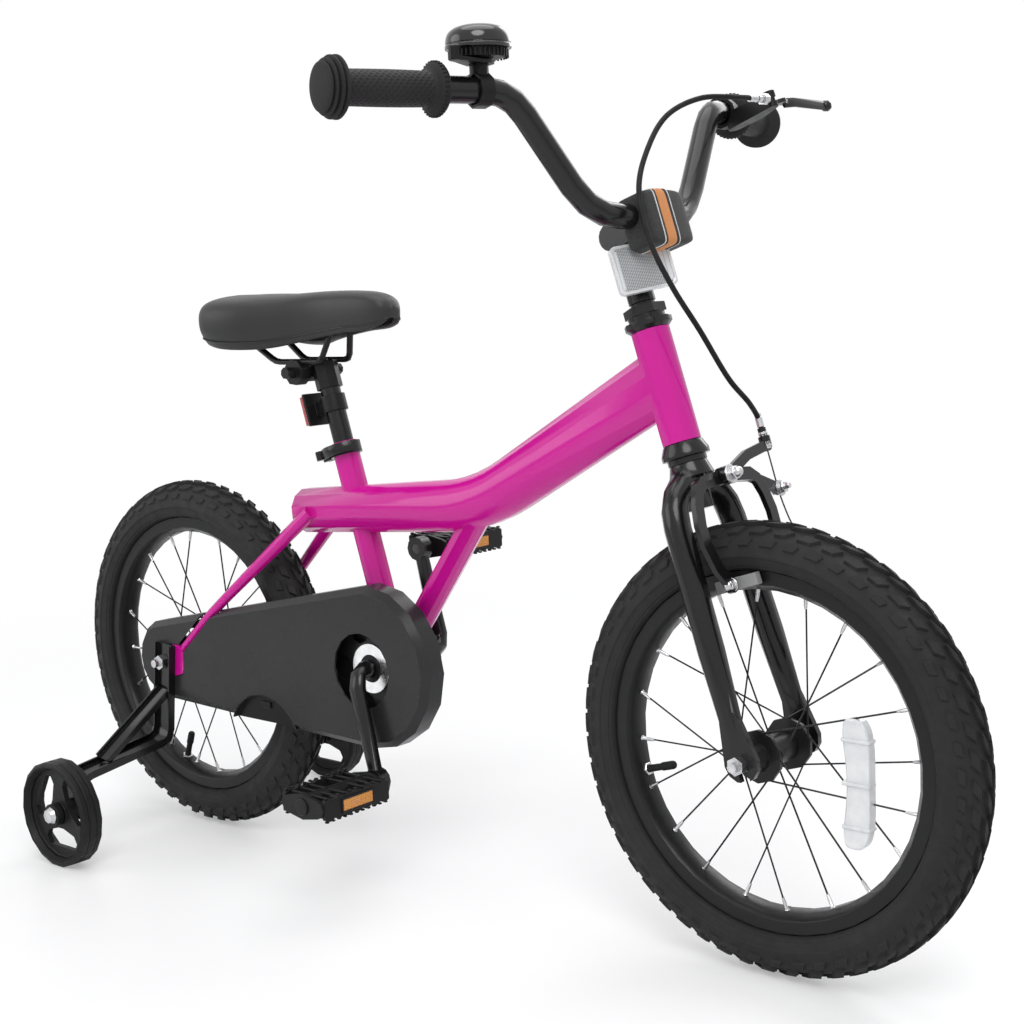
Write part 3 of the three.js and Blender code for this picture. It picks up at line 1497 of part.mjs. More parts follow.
function make_front_reflector() {
  const turn = -reflector_turn * degree;
  const half = reflector_tall * 0.28;
  const middle = reflector_height;
  const band = rod(
    vec(0, 0, middle - half),
    vec(0, 0, middle + half),
    column_radius + 3 * running_gap,
    round_sides,
  );
  const back = reflector_reach - reflector_thickness / 2;
  const arm = block(
    vec(column_radius, -half * 0.6, middle - half * 0.6),
    vec(back - fit_gap, half * 0.6, middle + half * 0.6),
  );
  const hole = rod(
    vec(0, 0, middle - half - overrun),
    vec(0, 0, middle + half + overrun),
    column_radius + fit_gap,
    round_sides,
  );
  piece('front_reflector_bracket', cut(join(band, arm), hole).rotateZ(turn), black, plastic, steering);
  const top = reflector_width / 2;
  const low = top * 0.86;
  const tall = reflector_tall / 2;
  const corner = reflector_thickness / 2;
  const outline = hull([
    [top, tall], [low, -tall], [-top, tall], [-low, -tall],
  ].flatMap(([x, y]) => Array.from({ length: 8 }, (_, i) => {
    const angle = (i * Math.PI) / 4;
    const centre_x = x - Math.sign(x) * corner;
    const centre_y = y - Math.sign(y) * corner;
    return new THREE.Vector2(centre_x + corner * Math.cos(angle), centre_y + corner * Math.sin(angle));
  })));
  const lens = level_plate(outline, 0, reflector_thickness);
  lens.rotateX(Math.PI / 2).rotateZ(Math.PI / 2).translate(back, 0, middle).rotateZ(turn);
  piece('front_reflector', lens, clear, plastic, steering);
}

function make_stem_pad() {
  const reach = bar_clamp_reach;
  const height = bar_clamp_height;
  const round = pad_half_tall * 0.3;
  const outline = hull([
    [reach - pad_back + round, height - pad_half_tall + round],
    [reach + pad_front - round, height - pad_half_tall + round],
    [reach + pad_front - round, height + pad_half_tall - round],
    [reach - pad_back + round, height + pad_half_tall - round],
  ].flatMap(([x, z]) => belt_outline([[x, z, round]], small_sides)));
  const body = side_plate(new THREE.Shape(outline), -pad_half_width, pad_half_width);
  const hold = bar_radius * 1.5 + fit_gap + running_gap;
  const far = pad_half_width + overrun;
  const tunnel = rod(vec(reach, -far, height), vec(reach, far, height), hold, wide_sides);
  const open = block(
    vec(reach - pad_back * 2, -far, height - hold * 0.98),
    vec(reach, far, height + hold * 0.98),
  );
  const neck = quill_radius * 2;
  const throat = block(
    vec(reach - pad_back * 2, -neck, height - pad_half_tall - overrun),
    vec(reach + pad_back * 0.6, neck, height),
  );
  piece('stem_pad', cut(body, tunnel, open, throat), dark, rubber, steering);
}

const seat_group = new THREE.Group();
bike.add(seat_group);
seat_group.position.copy(bracket);
seat_group.rotation.y = (seat_angle - 90) * degree;

// The clamp's middle, seen along the seat tube: behind the post and a little below its top.
const clamp_place = vec(-clamp_set_back, 0, clamp_height);

function make_seat_post() {
  const foot = seat_tube_length - post_insert;
  piece(
    'seat_post',
    rod(vec(0, 0, foot), vec(0, 0, post_top), post_radius, round_sides),
    black,
    paint,
    seat_group,
  );
  const band_half = clamp_radius * 0.8;
  const band = rod(
    vec(0, 0, clamp_height - band_half - clamp_radius),
    vec(0, 0, clamp_height - band_half + clamp_radius),
    post_radius + collar_wall,
    small_sides,
  );
  const half = rail_spread - rail_radius * 2;
  const disc = (low, high, radius) => [1, -1].map((side) => rod(
    clamp_place.clone().setY(side * low),
    clamp_place.clone().setY(side * high),
    radius,
    small_sides,
  ));
  const core = rod(
    clamp_place.clone().setY(-rail_spread * 1.9),
    clamp_place.clone().setY(rail_spread * 1.9),
    clamp_radius * 0.45,
    small_sides,
  );
  const body = join(
    band,
    rod(clamp_place.clone().setY(-half), clamp_place.clone().setY(half), clamp_radius * 0.8, small_sides),
    core,
    ...disc(half, rail_spread + rail_radius * 2, clamp_radius),
  );
  const bore = rod(vec(0, 0, clamp_height - clamp_radius * 4), vec(0, 0, clamp_height + clamp_radius * 2),
    post_radius + fit_gap, round_sides);
  const grooves = [1, -1].map((side) => rail_line(side, rail_radius + fit_gap));
  piece('seat_clamp', cut(body, bore, ...grooves), black, steel, seat_group);
}

// A point given in the bicycle's own frame, seen from the seat tube.
function from_seat(point) {
  seat_group.updateMatrix();
  return point.clone().applyMatrix4(seat_group.matrix.clone().invert());
}

function rail_line(side, radius) {
  const middle = clamp_place.clone().applyMatrix4(rail_frame());
  const level = middle.z + clamp_drop;
  const from = from_seat(vec(middle.x - clamp_radius * 3, side * rail_spread, level));
  return rod(
    from,
    from_seat(vec(middle.x + clamp_radius * 3, side * rail_spread, level)),
    radius,
    small_sides,
  );
}

function rail_frame() {
  seat_group.updateMatrix();
  return seat_group.matrix;
}

// The two saddle rails are one wire that turns at the nose.
function make_rails() {
  const middle = clamp_place.clone().applyMatrix4(rail_frame());
  const level = middle.z + clamp_drop;
  const high = rail_top;
  const front = saddle_nose_reach - saddle_length * 0.2;
  const back = saddle_tail_reach + saddle_length * 0.14;
  const points = [
    vec(back, rail_spread * 1.3, high),
    vec(middle.x - clamp_radius * 2.4, rail_spread, level),
    vec(middle.x + clamp_radius * 2.6, rail_spread, level),
    vec(front - (high - level), rail_spread * 0.6, high),
    vec(front, rail_spread * 0.5, high),
  ];
  const mirrored = points.map((point) => point.clone().multiply(vec(1, -1, 1))).reverse();
  const bends = [rail_radius * 2, rail_radius * 2, rail_radius * 1.5, rail_radius * 2, rail_radius * 2,
    rail_radius * 1.5, rail_radius * 2, rail_radius * 2];
  const path = rounded(points.concat(mirrored), bends, 2);
  const wire = pipe(path, rail_radius, rail_radius, nut_sides, up_axis.clone().add(vec(fit_gap, 0, 0)));
  const seated = wire.applyMatrix4(rail_frame().clone().invert());
  piece('saddle_rails', seated, black, steel, seat_group);
}

// Saddle stations from nose to tail as shares of its length, half width and skirt depth.
const saddle_run_shares = [0, 0.03, 0.1, 0.22, 0.36, 0.48, 0.6, 0.72, 0.84, 0.93, 0.98, 1];
const saddle_half_shares = [0.1, 0.22, 0.29, 0.33, 0.38, 0.5, 0.7, 0.9, 1, 0.97, 0.84, 0.6];
const saddle_crown_shares = [0.34, 0.17, 0.06, 0.02, 0.02, 0.05, 0.07, 0.05, 0.02, 0.03, 0.12, 0.26];
const saddle_skirt_shares = [0.5, 0.62, 0.7, 0.74, 0.82, 0.9, 0.98, 1, 0.98, 0.92, 0.84, 0.66];
const section_side_shares = [0.82, 0.97, 1, 0.9, 0.62, 0.25];
const section_drop_shares = [1, 0.72, 0.4, 0.16, 0.045, 0];

function saddle_form(inset, low_cut) {
  const rings = saddle_run_shares.map((run, i) => {
    const x = saddle_nose_reach - run * saddle_length;
    const half = (saddle_half_shares[i] * saddle_width) / 2;
    const crown = saddle_top - saddle_crown_shares[i] * saddle_skirt;
    const skirt = saddle_top - saddle_skirt_shares[i] * saddle_skirt;
    const side = section_side_shares.map((share, k) => {
      const z = crown - (crown - skirt) * section_drop_shares[k];
      return [Math.max(share * half - inset, rail_radius / 2), k === 0 ? z - low_cut : z - inset];
    });
    const ring = side.map(([y, z]) => vec(x, y, z));
    return ring.concat(side.map(([y, z]) => vec(x, -y, z)).reverse());
  });
  return rings;
}

// The hollow under the foam, open below. A clearance makes the same form smaller for what fills it.
function saddle_hollow(clearance) {
  const roof = saddle_top - saddle_foam - clearance;
  const rings = saddle_form(saddle_wall + clearance, overrun * 2).map((ring) => ring.map((point) => {
    return vec(point.x, point.y, Math.min(point.z, roof));
  }));
  return loft(rings.slice(2, -2));
}

function make_saddle() {
  const body = cut(loft(saddle_form(0, 0)), saddle_hollow(0));
  piece('saddle', body.applyMatrix4(rail_frame().clone().invert()), black, plastic, seat_group);
}

// The stiff base that the rails carry, just under the foam.
function make_saddle_base() {
  const low = rail_top + rail_radius + fit_gap;
  const half = saddle_width / 2;
  const slab = block(
    vec(saddle_tail_reach + saddle_length * 0.1, -half, low),
    vec(saddle_nose_reach - saddle_length * 0.14, half, saddle_top),
  );
  const base = common(saddle_hollow(fit_gap), slab);
  piece('saddle_base', base.applyMatrix4(rail_frame().clone().invert()), dark, plastic, seat_group);
}

function make_seat_collar() {
  const low = seat_tube_length - collar_height;
  const inner = seat_tube_radius + fit_gap;
  const outer = inner + collar_wall;
  const high = seat_tube_length - running_gap;
  const band = rod(vec(0, 0, low), vec(0, 0, high), outer, round_sides);
  const ears = block(vec(-outer - collar_height, -collar_wall * 2, low), vec(0, collar_wall * 2, high));
  const hole = rod(vec(0, 0, low - overrun), vec(0, 0, high + overrun), inner, round_sides);
  const gap = block(
    vec(-outer - collar_height * 2, -running_gap, low - overrun),
    vec(0, running_gap, high + overrun),
  );
  const middle = (low + high) / 2;
  const back = -outer - collar_height / 2;
  const skewer = rod(
    vec(back, -collar_wall * 3.4 + fit_gap, middle),
    vec(back, collar_wall * 4, middle),
    collar_wall,
    small_sides,
  );
  const nut = rod(
    vec(back, collar_wall * 2, middle),
    vec(back, collar_wall * 3.6, middle),
    collar_wall * 2,
    small_sides,
  );
  piece('seat_collar', join(cut(join(band, ears), hole, gap), skewer, nut), black, steel, seat_group);
  const hinge = vec(back, -collar_wall * 5, middle);
  const wrap = inner + collar_wall * 3;
  const steps = 7;
  const path = Array.from({ length: steps }, (_, i) => {
    const turn = Math.PI + (0.28 + (0.62 * i) / (steps - 1)) * Math.PI;
    return vec(wrap * Math.cos(turn), wrap * Math.sin(turn), middle);
  });
  const blade = pipe([hinge, ...path], [collar_height * 0.3, ...path.map(() => collar_height * 0.42)],
    seat_lever_thickness / 2, small_sides, up_axis);
  const boss = rod(vec(hinge.x, hinge.y, middle - collar_height * 0.35), vec(hinge.x, hinge.y,
    middle + collar_height * 0.35), collar_wall * 1.6, small_sides);
  piece('seat_lever', join(blade, boss), dark, steel, seat_group);
}

function make_rear_reflector() {
  const middle = rear_reflector_height;
  const half = reflector_tall * 0.2;
  const band = rod(
    vec(0, 0, middle - half),
    vec(0, 0, middle + half),
    post_radius + collar_wall,
    round_sides,
  );
  const back = -post_radius - collar_wall * 3;
  const arm = block(vec(back, -half, middle - half * 0.8), vec(0, half, middle + half * 0.8));
  const housing = block(
    vec(back - collar_wall, -rear_reflector_width / 2, middle - rear_reflector_width * 0.4),
    vec(back, rear_reflector_width / 2, middle + rear_reflector_width * 0.4),
  );
  const hole = rod(
    vec(0, 0, middle - half - overrun),
    vec(0, 0, middle + half + overrun),
    post_radius + fit_gap,
    round_sides,
  );
  piece('rear_reflector_bracket', join(cut(join(band, arm), hole), housing), black, plastic, seat_group);
  const lens = block(
    vec(back - collar_wall * 3, -rear_reflector_width * 0.46, middle - rear_reflector_width * 0.36),
    vec(back - collar_wall - fit_gap, rear_reflector_width * 0.46, middle + rear_reflector_width * 0.36),
  );
  piece('rear_reflector', lens, red, plastic, seat_group);
}

const trainer_lean = Math.atan2(trainer_set_back, tyre_radius - trainer_radius);
const trainer_drop = Math.hypot(trainer_set_back, tyre_radius - trainer_radius);
const strap_plane = dropout_gap / 2 + dropout_thickness + fit_gap;

// A strip of constant thickness along points of Y and Z, drawn as a closed outline.
function strip(points, thickness) {
  const offset = points.map((point, i) => {
    const before = points[Math.max(i - 1, 0)];
    const after = points[Math.min(i + 1, points.length - 1)];
    const into = point.clone().sub(before);
    const out = after.clone().sub(point);
    const along = into.normalize().add(out.normalize()).normalize();
    const stretch = i > 0 && i < points.length - 1 ? 1 / Math.max(along.dot(out), 0.5) : 1;
    return point.clone().add(vec(0, along.z, -along.y).multiplyScalar(thickness * stretch));
  });
  return points.concat(offset.reverse()).map((point) => new THREE.Vector2(point.y, point.z));
}

// Extrudes an outline of Y and Z along X.
function cross_plate(outline, low_x, high_x) {
  const turn = new THREE.Matrix4().makeBasis(side_axis, up_axis, front_axis);
  const options = { depth: high_x - low_x, bevelEnabled: false };
  const plate = new THREE.ExtrudeGeometry(new THREE.Shape(outline), options);
  return plate.applyMatrix4(turn).translate(low_x, 0, 0);
}

// A channel bent from the axle down and out to the training wheel, with a brace across the bend.
function bracket_shape() {
  const corner = -bracket_corner_drop;
  const tab = trainer_outer_face - trainer_width - bracket_thickness - running_gap;
  const arm_low = corner - bracket_arm_drop * 0.75;
  const path = rounded([
    vec(0, strap_plane, bracket_over_axle),
    vec(0, strap_plane, corner),
    vec(0, tab - bracket_flange, arm_low),
    vec(0, tab, arm_low - bracket_flange),
    vec(0, tab, -trainer_drop - bracket_flange),
  ], [bracket_arm_drop * 0.7, bracket_flange * 0.6, bracket_flange * 0.4], 2);
  const half = bracket_width / 2;
  const web = cross_plate(strip(path, -bracket_thickness), -half, half);
  const flanged = path.slice(0, -3);
  const lip = strip(flanged, -bracket_flange);
  const lips = [cross_plate(lip, -half, -half + bracket_thickness * 0.6),
    cross_plate(lip, half - bracket_thickness * 0.6, half)];
  const brace_path = [
    vec(0, strap_plane + bracket_thickness * 0.5, -brace_top_drop),
    vec(0, brace_side, arm_low + bracket_thickness + bracket_arm_drop * 0.35),
  ];
  const brace = cross_plate(strip(brace_path, -bracket_thickness * 0.8), -half * 0.8, half * 0.8);
  const edge = strip(brace_path, -bracket_flange * 0.8);
  const edges = [cross_plate(edge, -half * 0.8, -half * 0.8 + bracket_thickness * 0.6),
    cross_plate(edge, half * 0.8 - bracket_thickness * 0.6, half * 0.8)];
  const window = rod(vec(0, strap_plane + bracket_thickness, 0), vec(0, strap_plane * 2, 0),
    axle_nut_radius * 1.3, round_sides);
  const axle_hole = rod(vec(0, 0, 0), vec(0, strap_plane * 2, 0), axle_radius + fit_gap, small_sides);
  const pin_hole = rod(
    vec(0, tab - bracket_flange, -trainer_drop),
    vec(0, trainer_outer_face, -trainer_drop),
    axle_radius + fit_gap,
    small_sides,
  );
  const solid = cut(join(web, ...lips, brace, ...edges), window, axle_hole, pin_hole);
  return { solid, tab };
}

function make_trainers() {
  const spin = (geometry) => geometry.rotateY(trainer_lean).translate(rear_axle.x, 0, rear_axle.z);
  const flip_side = (geometry, side) => (side > 0 ? geometry : geometry.scale(1, -1, 1));
  const { solid, tab } = bracket_shape();
  [['right', -1], ['left', 1]].forEach(([name, side]) => {
    const bracket_body = spin(flip_side(solid.clone(), side));
    piece('training_bracket_' + name, bracket_body, black, paint);
    const centre = vec(rear_axle.x - trainer_set_back, 0, trainer_radius);
    const start = tab - bracket_thickness * 3;
    const pin = join(
      rod(vec(0, start, 0), vec(0, trainer_outer_face + running_gap, 0), axle_radius, small_sides),
      rod(vec(0, start, 0), vec(0, tab - fit_gap, 0), axle_nut_radius, nut_sides),
      turned([
        [0, 0],
        [axle_nut_radius * 1.2, 0],
        [axle_nut_radius * 0.9, axle_nut_radius * 0.5],
        [0, axle_nut_radius * 0.8],
      ], small_sides).rotateX(-Math.PI / 2).translate(0, trainer_outer_face + 2 * fit_gap, 0),
    );
    piece('training_axle_' + name, flip_side(pin, side).translate(centre.x, 0, centre.z), silver, steel);
    const wheel = flip_side(trainer_wheel(), side);
    piece('training_wheel_' + name, wheel.translate(centre.x, 0, centre.z), black, plastic);
  });
}

// The training wheel: a ribbed tread, a raised lip and a recessed web with three openings.
function trainer_wheel() {
  const columns = 18;
  const facet = trainer_radius / Math.cos(Math.PI / columns);
  const inner = trainer_outer_face - trainer_width;
  const middle = trainer_outer_face - trainer_width / 2;
  const web = bracket_thickness * 0.75;
  const bore = axle_radius + 2 * fit_gap;
  const boss = axle_nut_radius * 1.5;
  const lip = trainer_radius * 0.84;
  const shoulder = trainer_radius * 0.94;
  const profile = [
    [inner, bore], [inner, boss], [middle - web, boss], [middle - web, lip],
    [inner, shoulder], [inner + web, facet], [trainer_outer_face - web, facet],
    [trainer_outer_face, shoulder], [middle + web, lip], [middle + web, boss], [trainer_outer_face, boss],
    [trainer_outer_face, bore],
  ];
  const rings = Array.from({ length: columns }, (_, i) => {
    const turn = ((i + 0.5) * 2 * Math.PI) / columns;
    return profile.map(([y, radius]) => vec(radius * Math.sin(turn), y, -radius * Math.cos(turn)));
  });
  const openings = [0, 1, 2].map((k) => {
    const turn = ((k + 0.5) * 2 * Math.PI) / 3;
    const place = (radius, angle) => [radius * Math.sin(turn + angle), radius * Math.cos(turn + angle)];
    const reach = (boss + lip) / 2;
    const size = (lip - boss) / 4;
    const outline = belt_outline([
      [...place(reach + size * 0.6, -0.55), size],
      [...place(reach + size * 0.6, 0.55), size],
      [...place(reach - size * 0.6, 0), size],
    ], nut_sides);
    return side_plate(new THREE.Shape(outline), inner, trainer_outer_face);
  });
  return cut(loft(rings, true), ...openings);
}

// The coaster brake's reaction arm runs from the hub's left end to a strap round the chain stay.
function make_coaster_arm() {
  const low = rear_hub_left + fit_gap;
  const high = low + bracket_thickness;
  const { bow, tip } = chain_stay_ends(1);
  const grip = tip.clone().lerp(bow, coaster_strap_share);
  const along = bow.clone().sub(tip).normalize();
  const half = stay_radius * 0.8;
  const around = (radius, length) => rod(grip.clone().addScaledVector(along, -length),
    grip.clone().addScaledVector(along, length), radius, round_sides);
  const plate = (circles) => side_plate(new THREE.Shape(belt_outline(circles, small_sides)), low, high);
  const dip = [stay_radius * 5, rear_axle.z - coaster_dip, stay_radius];
  const end = [grip.x, grip.z - stay_radius * 2.6, stay_radius];
  const arm = join(
    plate([[rear_axle.x, rear_axle.z, axle_nut_radius * 1.6], dip]),
    plate([dip, end]),
    plate([end, [grip.x, grip.z - stay_radius, half]]),
    around(stay_radius + fit_gap + bracket_thickness / 2, half),
  );
  const hole = rod(
    vec(rear_axle.x, low - overrun, rear_axle.z),
    vec(rear_axle.x, high + overrun, rear_axle.z),
    axle_radius + fit_gap,
    small_sides,
  );
  piece('coaster_arm', cut(arm, hole, around(stay_radius + 2 * fit_gap, half * 4)), silver, steel);
}

make_frame();
make_wheels();
make_fork();
make_headset();
make_stem();
make_handlebar();
make_grip('grip_left', 1);
make_grip('grip_right', -1);
make_chain();
make_chainring();
make_sprocket();
make_crank();
make_bracket_cups();
make_pedal('right', -1);
make_pedal('left', 1);
make_guard();
make_brake_lever();
make_lever_adjuster();
make_cable();
make_caliper();
make_bell();
make_front_reflector();
make_stem_pad();
make_seat_post();
make_rails();
make_saddle();
make_saddle_base();
make_seat_collar();
make_rear_reflector();
make_trainers();
make_coaster_arm();

export default bike;
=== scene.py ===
import math

import bmesh
import bpy
from mathutils import Matrix, Vector


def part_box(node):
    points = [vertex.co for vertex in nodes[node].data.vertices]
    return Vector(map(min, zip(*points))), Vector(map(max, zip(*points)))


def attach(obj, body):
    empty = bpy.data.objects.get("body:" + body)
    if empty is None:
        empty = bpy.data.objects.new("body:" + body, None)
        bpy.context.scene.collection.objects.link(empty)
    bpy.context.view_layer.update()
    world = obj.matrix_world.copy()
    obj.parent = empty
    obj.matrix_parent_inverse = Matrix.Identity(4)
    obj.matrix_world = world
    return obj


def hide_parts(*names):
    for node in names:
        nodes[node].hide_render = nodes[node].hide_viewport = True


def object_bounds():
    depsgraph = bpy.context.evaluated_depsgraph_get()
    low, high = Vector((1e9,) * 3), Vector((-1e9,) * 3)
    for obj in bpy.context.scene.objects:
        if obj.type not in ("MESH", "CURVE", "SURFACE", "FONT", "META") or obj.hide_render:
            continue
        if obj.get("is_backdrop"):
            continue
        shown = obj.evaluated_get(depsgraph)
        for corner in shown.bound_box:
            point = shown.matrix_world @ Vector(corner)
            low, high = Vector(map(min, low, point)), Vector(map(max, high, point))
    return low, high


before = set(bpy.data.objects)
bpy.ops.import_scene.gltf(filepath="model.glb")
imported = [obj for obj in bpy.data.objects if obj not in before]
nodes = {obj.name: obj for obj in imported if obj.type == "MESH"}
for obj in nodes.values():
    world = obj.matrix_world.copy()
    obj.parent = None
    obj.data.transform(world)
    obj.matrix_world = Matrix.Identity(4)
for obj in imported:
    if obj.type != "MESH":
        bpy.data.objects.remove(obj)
cad_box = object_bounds()
scene = bpy.context.scene
scene.view_settings.view_transform = "Standard"


# ---------------- camera, floor and light
# The viewpoint was fitted to the wheel outlines and axle ends in the photograph.
camera_place = Vector((1.5479, -1.2231, 0.6193))
camera_azimuth = math.radians(40.889)
camera_elevation = math.radians(7.717)
camera_roll = math.radians(-2.349)
camera_lens = 58.467
sensor_width = 36
view_nearest, view_farthest = 0.05, 60

# Lamps: name, place, the point they face, size in metres and power in watts.
lamps = (
    ("key", (1.9, -1.6, 2.6), (0.4, 0, 0.35), 1.8, 48),
    ("fill", (-1.6, -2.2, 1.5), (0.4, 0, 0.4), 2.2, 24),
    ("back", (0.2, 2.6, 1.9), (0.4, 0, 0.4), 2.0, 26),
    ("top", (0.4, 0.1, 2.9), (0.4, 0, 0), 2.4, 30),
)
sky_colour, sky_strength = (0.95, 0.97, 1), 0.4
white = (1, 1, 1)
floor_reach, floor_drop, floor_colour, floor_roughness = 9, 0.0004, (0.93, 0.93, 0.935), 0.42
# The floor glows by the first share near its middle, and by the second past the far radius.
floor_middle, glow_radii, glow_shares = (0.4, 0, 0), (0.75, 2.0), (0.35, 1)


def make_camera():
    az, el = camera_azimuth, camera_elevation
    forward = Vector((-math.sin(az) * math.cos(el), math.cos(az) * math.cos(el), -math.sin(el)))
    level = Vector((math.cos(az), math.sin(az), 0))
    rise = level.cross(forward)
    right = level * math.cos(camera_roll) + rise * math.sin(camera_roll)
    up = right.cross(forward)
    data = bpy.data.cameras.new("camera")
    data.lens = camera_lens
    data.sensor_width = sensor_width
    data.clip_start = view_nearest
    data.clip_end = view_farthest
    camera = bpy.data.objects.new("camera", data)
    columns = Matrix((right, up, -forward)).transposed().to_4x4()
    camera.matrix_world = Matrix.Translation(camera_place) @ columns
    scene.collection.objects.link(camera)
    scene.camera = camera


def area_light(name, place, target, size, power):
    data = bpy.data.lights.new(name, "AREA")
    data.shape = "DISK"
    data.size = size
    data.energy = power
    lamp = bpy.data.objects.new(name, data)
    lamp.location = place
    lamp.rotation_mode = "QUATERNION"
    lamp.rotation_quaternion = (Vector(target) - Vector(place)).to_track_quat("-Z", "Y")
    scene.collection.objects.link(lamp)


def plug(tree, node, **inputs):
    """Gives a node's inputs values, or links them to a node or output. _0 is the first input."""
    for key, value in inputs.items():
        slot = node.inputs[int(key[1:]) if key[1:].isdigit() else key.replace("_", " ")]
        if isinstance(value, bpy.types.Node):
            value = value.outputs[0]
        if isinstance(value, bpy.types.NodeSocket):
            tree.links.new(value, slot)
        else:
            slot.default_value = (*value, 1) if slot.type == "RGBA" else value


def grow(tree, kind, operation=None, **inputs):
    """A new shader node."""
    node = tree.nodes.new("ShaderNode" + kind)
    if operation:
        node.operation = operation
    plug(tree, node, **inputs)
    return node


def empty_tree(owner):
    owner.use_nodes = True
    owner.node_tree.nodes.clear()
    return owner.node_tree


def make_world():
    """Soft light from all sides. The camera, gloss and glass see plain white there."""
    scene.world = bpy.data.worlds.new("studio")
    tree = empty_tree(scene.world)
    ray = grow(tree, "LightPath").outputs
    shown = grow(tree, "Math", "MAXIMUM", _0=ray["Is Camera Ray"], _1=ray["Is Glossy Ray"])
    clear = grow(tree, "Math", "MAXIMUM", _0=shown, _1=ray["Is Transmission Ray"])
    soft = grow(tree, "Background", Color=sky_colour, Strength=sky_strength)
    plain = grow(tree, "Background", Color=white, Strength=1)
    mix = grow(tree, "MixShader", _0=clear, _1=soft, _2=plain)
    grow(tree, "OutputWorld", Surface=mix)


def make_floor():
    """A pale floor that keeps the shadow near the bicycle and runs out to white around it."""
    mesh = bpy.data.meshes.new("floor")
    r = floor_reach
    mesh.from_pydata([(-r, -r, 0), (r, -r, 0), (r, r, 0), (-r, r, 0)], [], [(0, 1, 2, 3)])
    floor = bpy.data.objects.new("floor", mesh)
    floor.location.z = -floor_drop
    scene.collection.objects.link(floor)
    floor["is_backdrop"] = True
    material = bpy.data.materials.new("floor")
    tree = empty_tree(material)
    here = grow(tree, "TexCoord").outputs["Object"]
    away = grow(tree, "VectorMath", "DISTANCE", _0=here, _1=floor_middle).outputs["Value"]
    far = grow(tree, "MapRange", Value=away, From_Min=glow_radii[0], From_Max=glow_radii[1],
               To_Min=glow_shares[0], To_Max=glow_shares[1])
    far.interpolation_type = "SMOOTHSTEP"
    ray = grow(tree, "LightPath").outputs["Is Camera Ray"]
    share = grow(tree, "Math", "MULTIPLY", _0=ray, _1=far.outputs["Result"])
    matt = grow(tree, "BsdfPrincipled", Base_Color=floor_colour, Roughness=floor_roughness)
    glow = grow(tree, "Emission", Color=white, Strength=1)
    mix = grow(tree, "MixShader", _0=share, _1=matt, _2=glow)
    grow(tree, "OutputMaterial", Surface=mix)
    mesh.materials.append(material)


make_camera()
make_world()
make_floor()
for lamp in lamps:
    area_light(*lamp)


# ---------------- materials
materials = {}
wear_samples = 4
acrylic_index = 1.49


class Paper:
    """A material's node tree, with patterns in metres on the piece itself."""

    def __init__(self, name):
        self.material = materials[name] = bpy.data.materials.new(name)
        self.material.use_nodes = True
        self.tree = self.material.node_tree
        self.shader = self.tree.nodes["Principled BSDF"]
        self.place = self.node("TexCoord").outputs["Object"]

    def node(self, kind, operation=None, **inputs):
        return grow(self.tree, kind, operation, **inputs)

    def math(self, operation, *values):
        return self.node("Math", operation, **{f"_{i}": v for i, v in enumerate(values)})

    def axes(self):
        return self.node("SeparateXYZ", _0=self.place).outputs

    def noise(self, scale, detail=2.0, stretch=None):
        source = self.place
        if stretch:
            source = self.node("Mapping", Scale=stretch, Vector=source)
        return self.node("TexNoise", Scale=scale, Detail=detail, Vector=source).outputs["Fac"]

    def cells(self, scale):
        return self.node("TexVoronoi", Scale=scale, Vector=self.place).outputs["Distance"]

    def spread(self, source, low, high, start=0.3, end=0.7):
        """The source's range from start to end, spread from low to high."""
        return self.node("MapRange", Value=source, From_Min=start, From_Max=end, To_Min=low, To_Max=high)

    def sum(self, a, b, share=1.0):
        return self.math("MULTIPLY_ADD", b, share, a)

    def over(self, mask, below, above):
        """One colour over another, where the mask is 1."""
        mix = self.node("Mix")
        mix.data_type = "RGBA"
        plug(self.tree, mix, _0=mask, _6=below, _7=above)
        return mix.outputs[2]

    def colour(self, source, first, second, start=0.3, end=0.7):
        """Blends two colours by a pattern."""
        return self.over(self.spread(source, 0, 1, start, end), first, second)

    def rounded(self, radius):
        soft = self.node("Bevel", Radius=radius)
        soft.samples = wear_samples
        return soft

    def edge(self, radius):
        """1 along the piece's worn edges, 0 on its faces."""
        true = self.node("NewGeometry").outputs["Normal"]
        dot = self.node("VectorMath", "DOT_PRODUCT", _0=self.rounded(radius), _1=true)
        return self.spread(dot.outputs["Value"], 1, 0, 0.8, 0.985)

    def bump(self, source, depth, strength=1.0, round_edge=0.0006):
        """Relief of that depth in metres over edges rounded by round_edge."""
        relief = self.node("Bump", Strength=strength, Distance=depth, Height=source)
        if round_edge:
            plug(self.tree, relief, Normal=self.rounded(round_edge))
        self.set(Normal=relief)

    def set(self, **inputs):
        plug(self.tree, self.shader, **inputs)


def gloss_paint(name, colour, shade, edge_colour, rough, coat, peel, level):
    """Sprayed paint: slow tone changes, orange peel and thinner paint on the edges."""
    p = Paper(name)
    tone = p.colour(p.noise(7, 3), colour, shade)
    thin = p.spread(p.edge(0.0012), 0, 0.35, 0, 1)
    p.set(Base_Color=p.over(thin, tone, edge_colour))
    p.set(Roughness=p.spread(p.noise(260, 4), rough * 0.85, rough * 1.25))
    p.set(Coat_Weight=coat, Coat_Roughness=0.06, Specular_IOR_Level=level)
    p.bump(p.sum(p.noise(420, 1), p.noise(1500, 1), 0.3), peel)


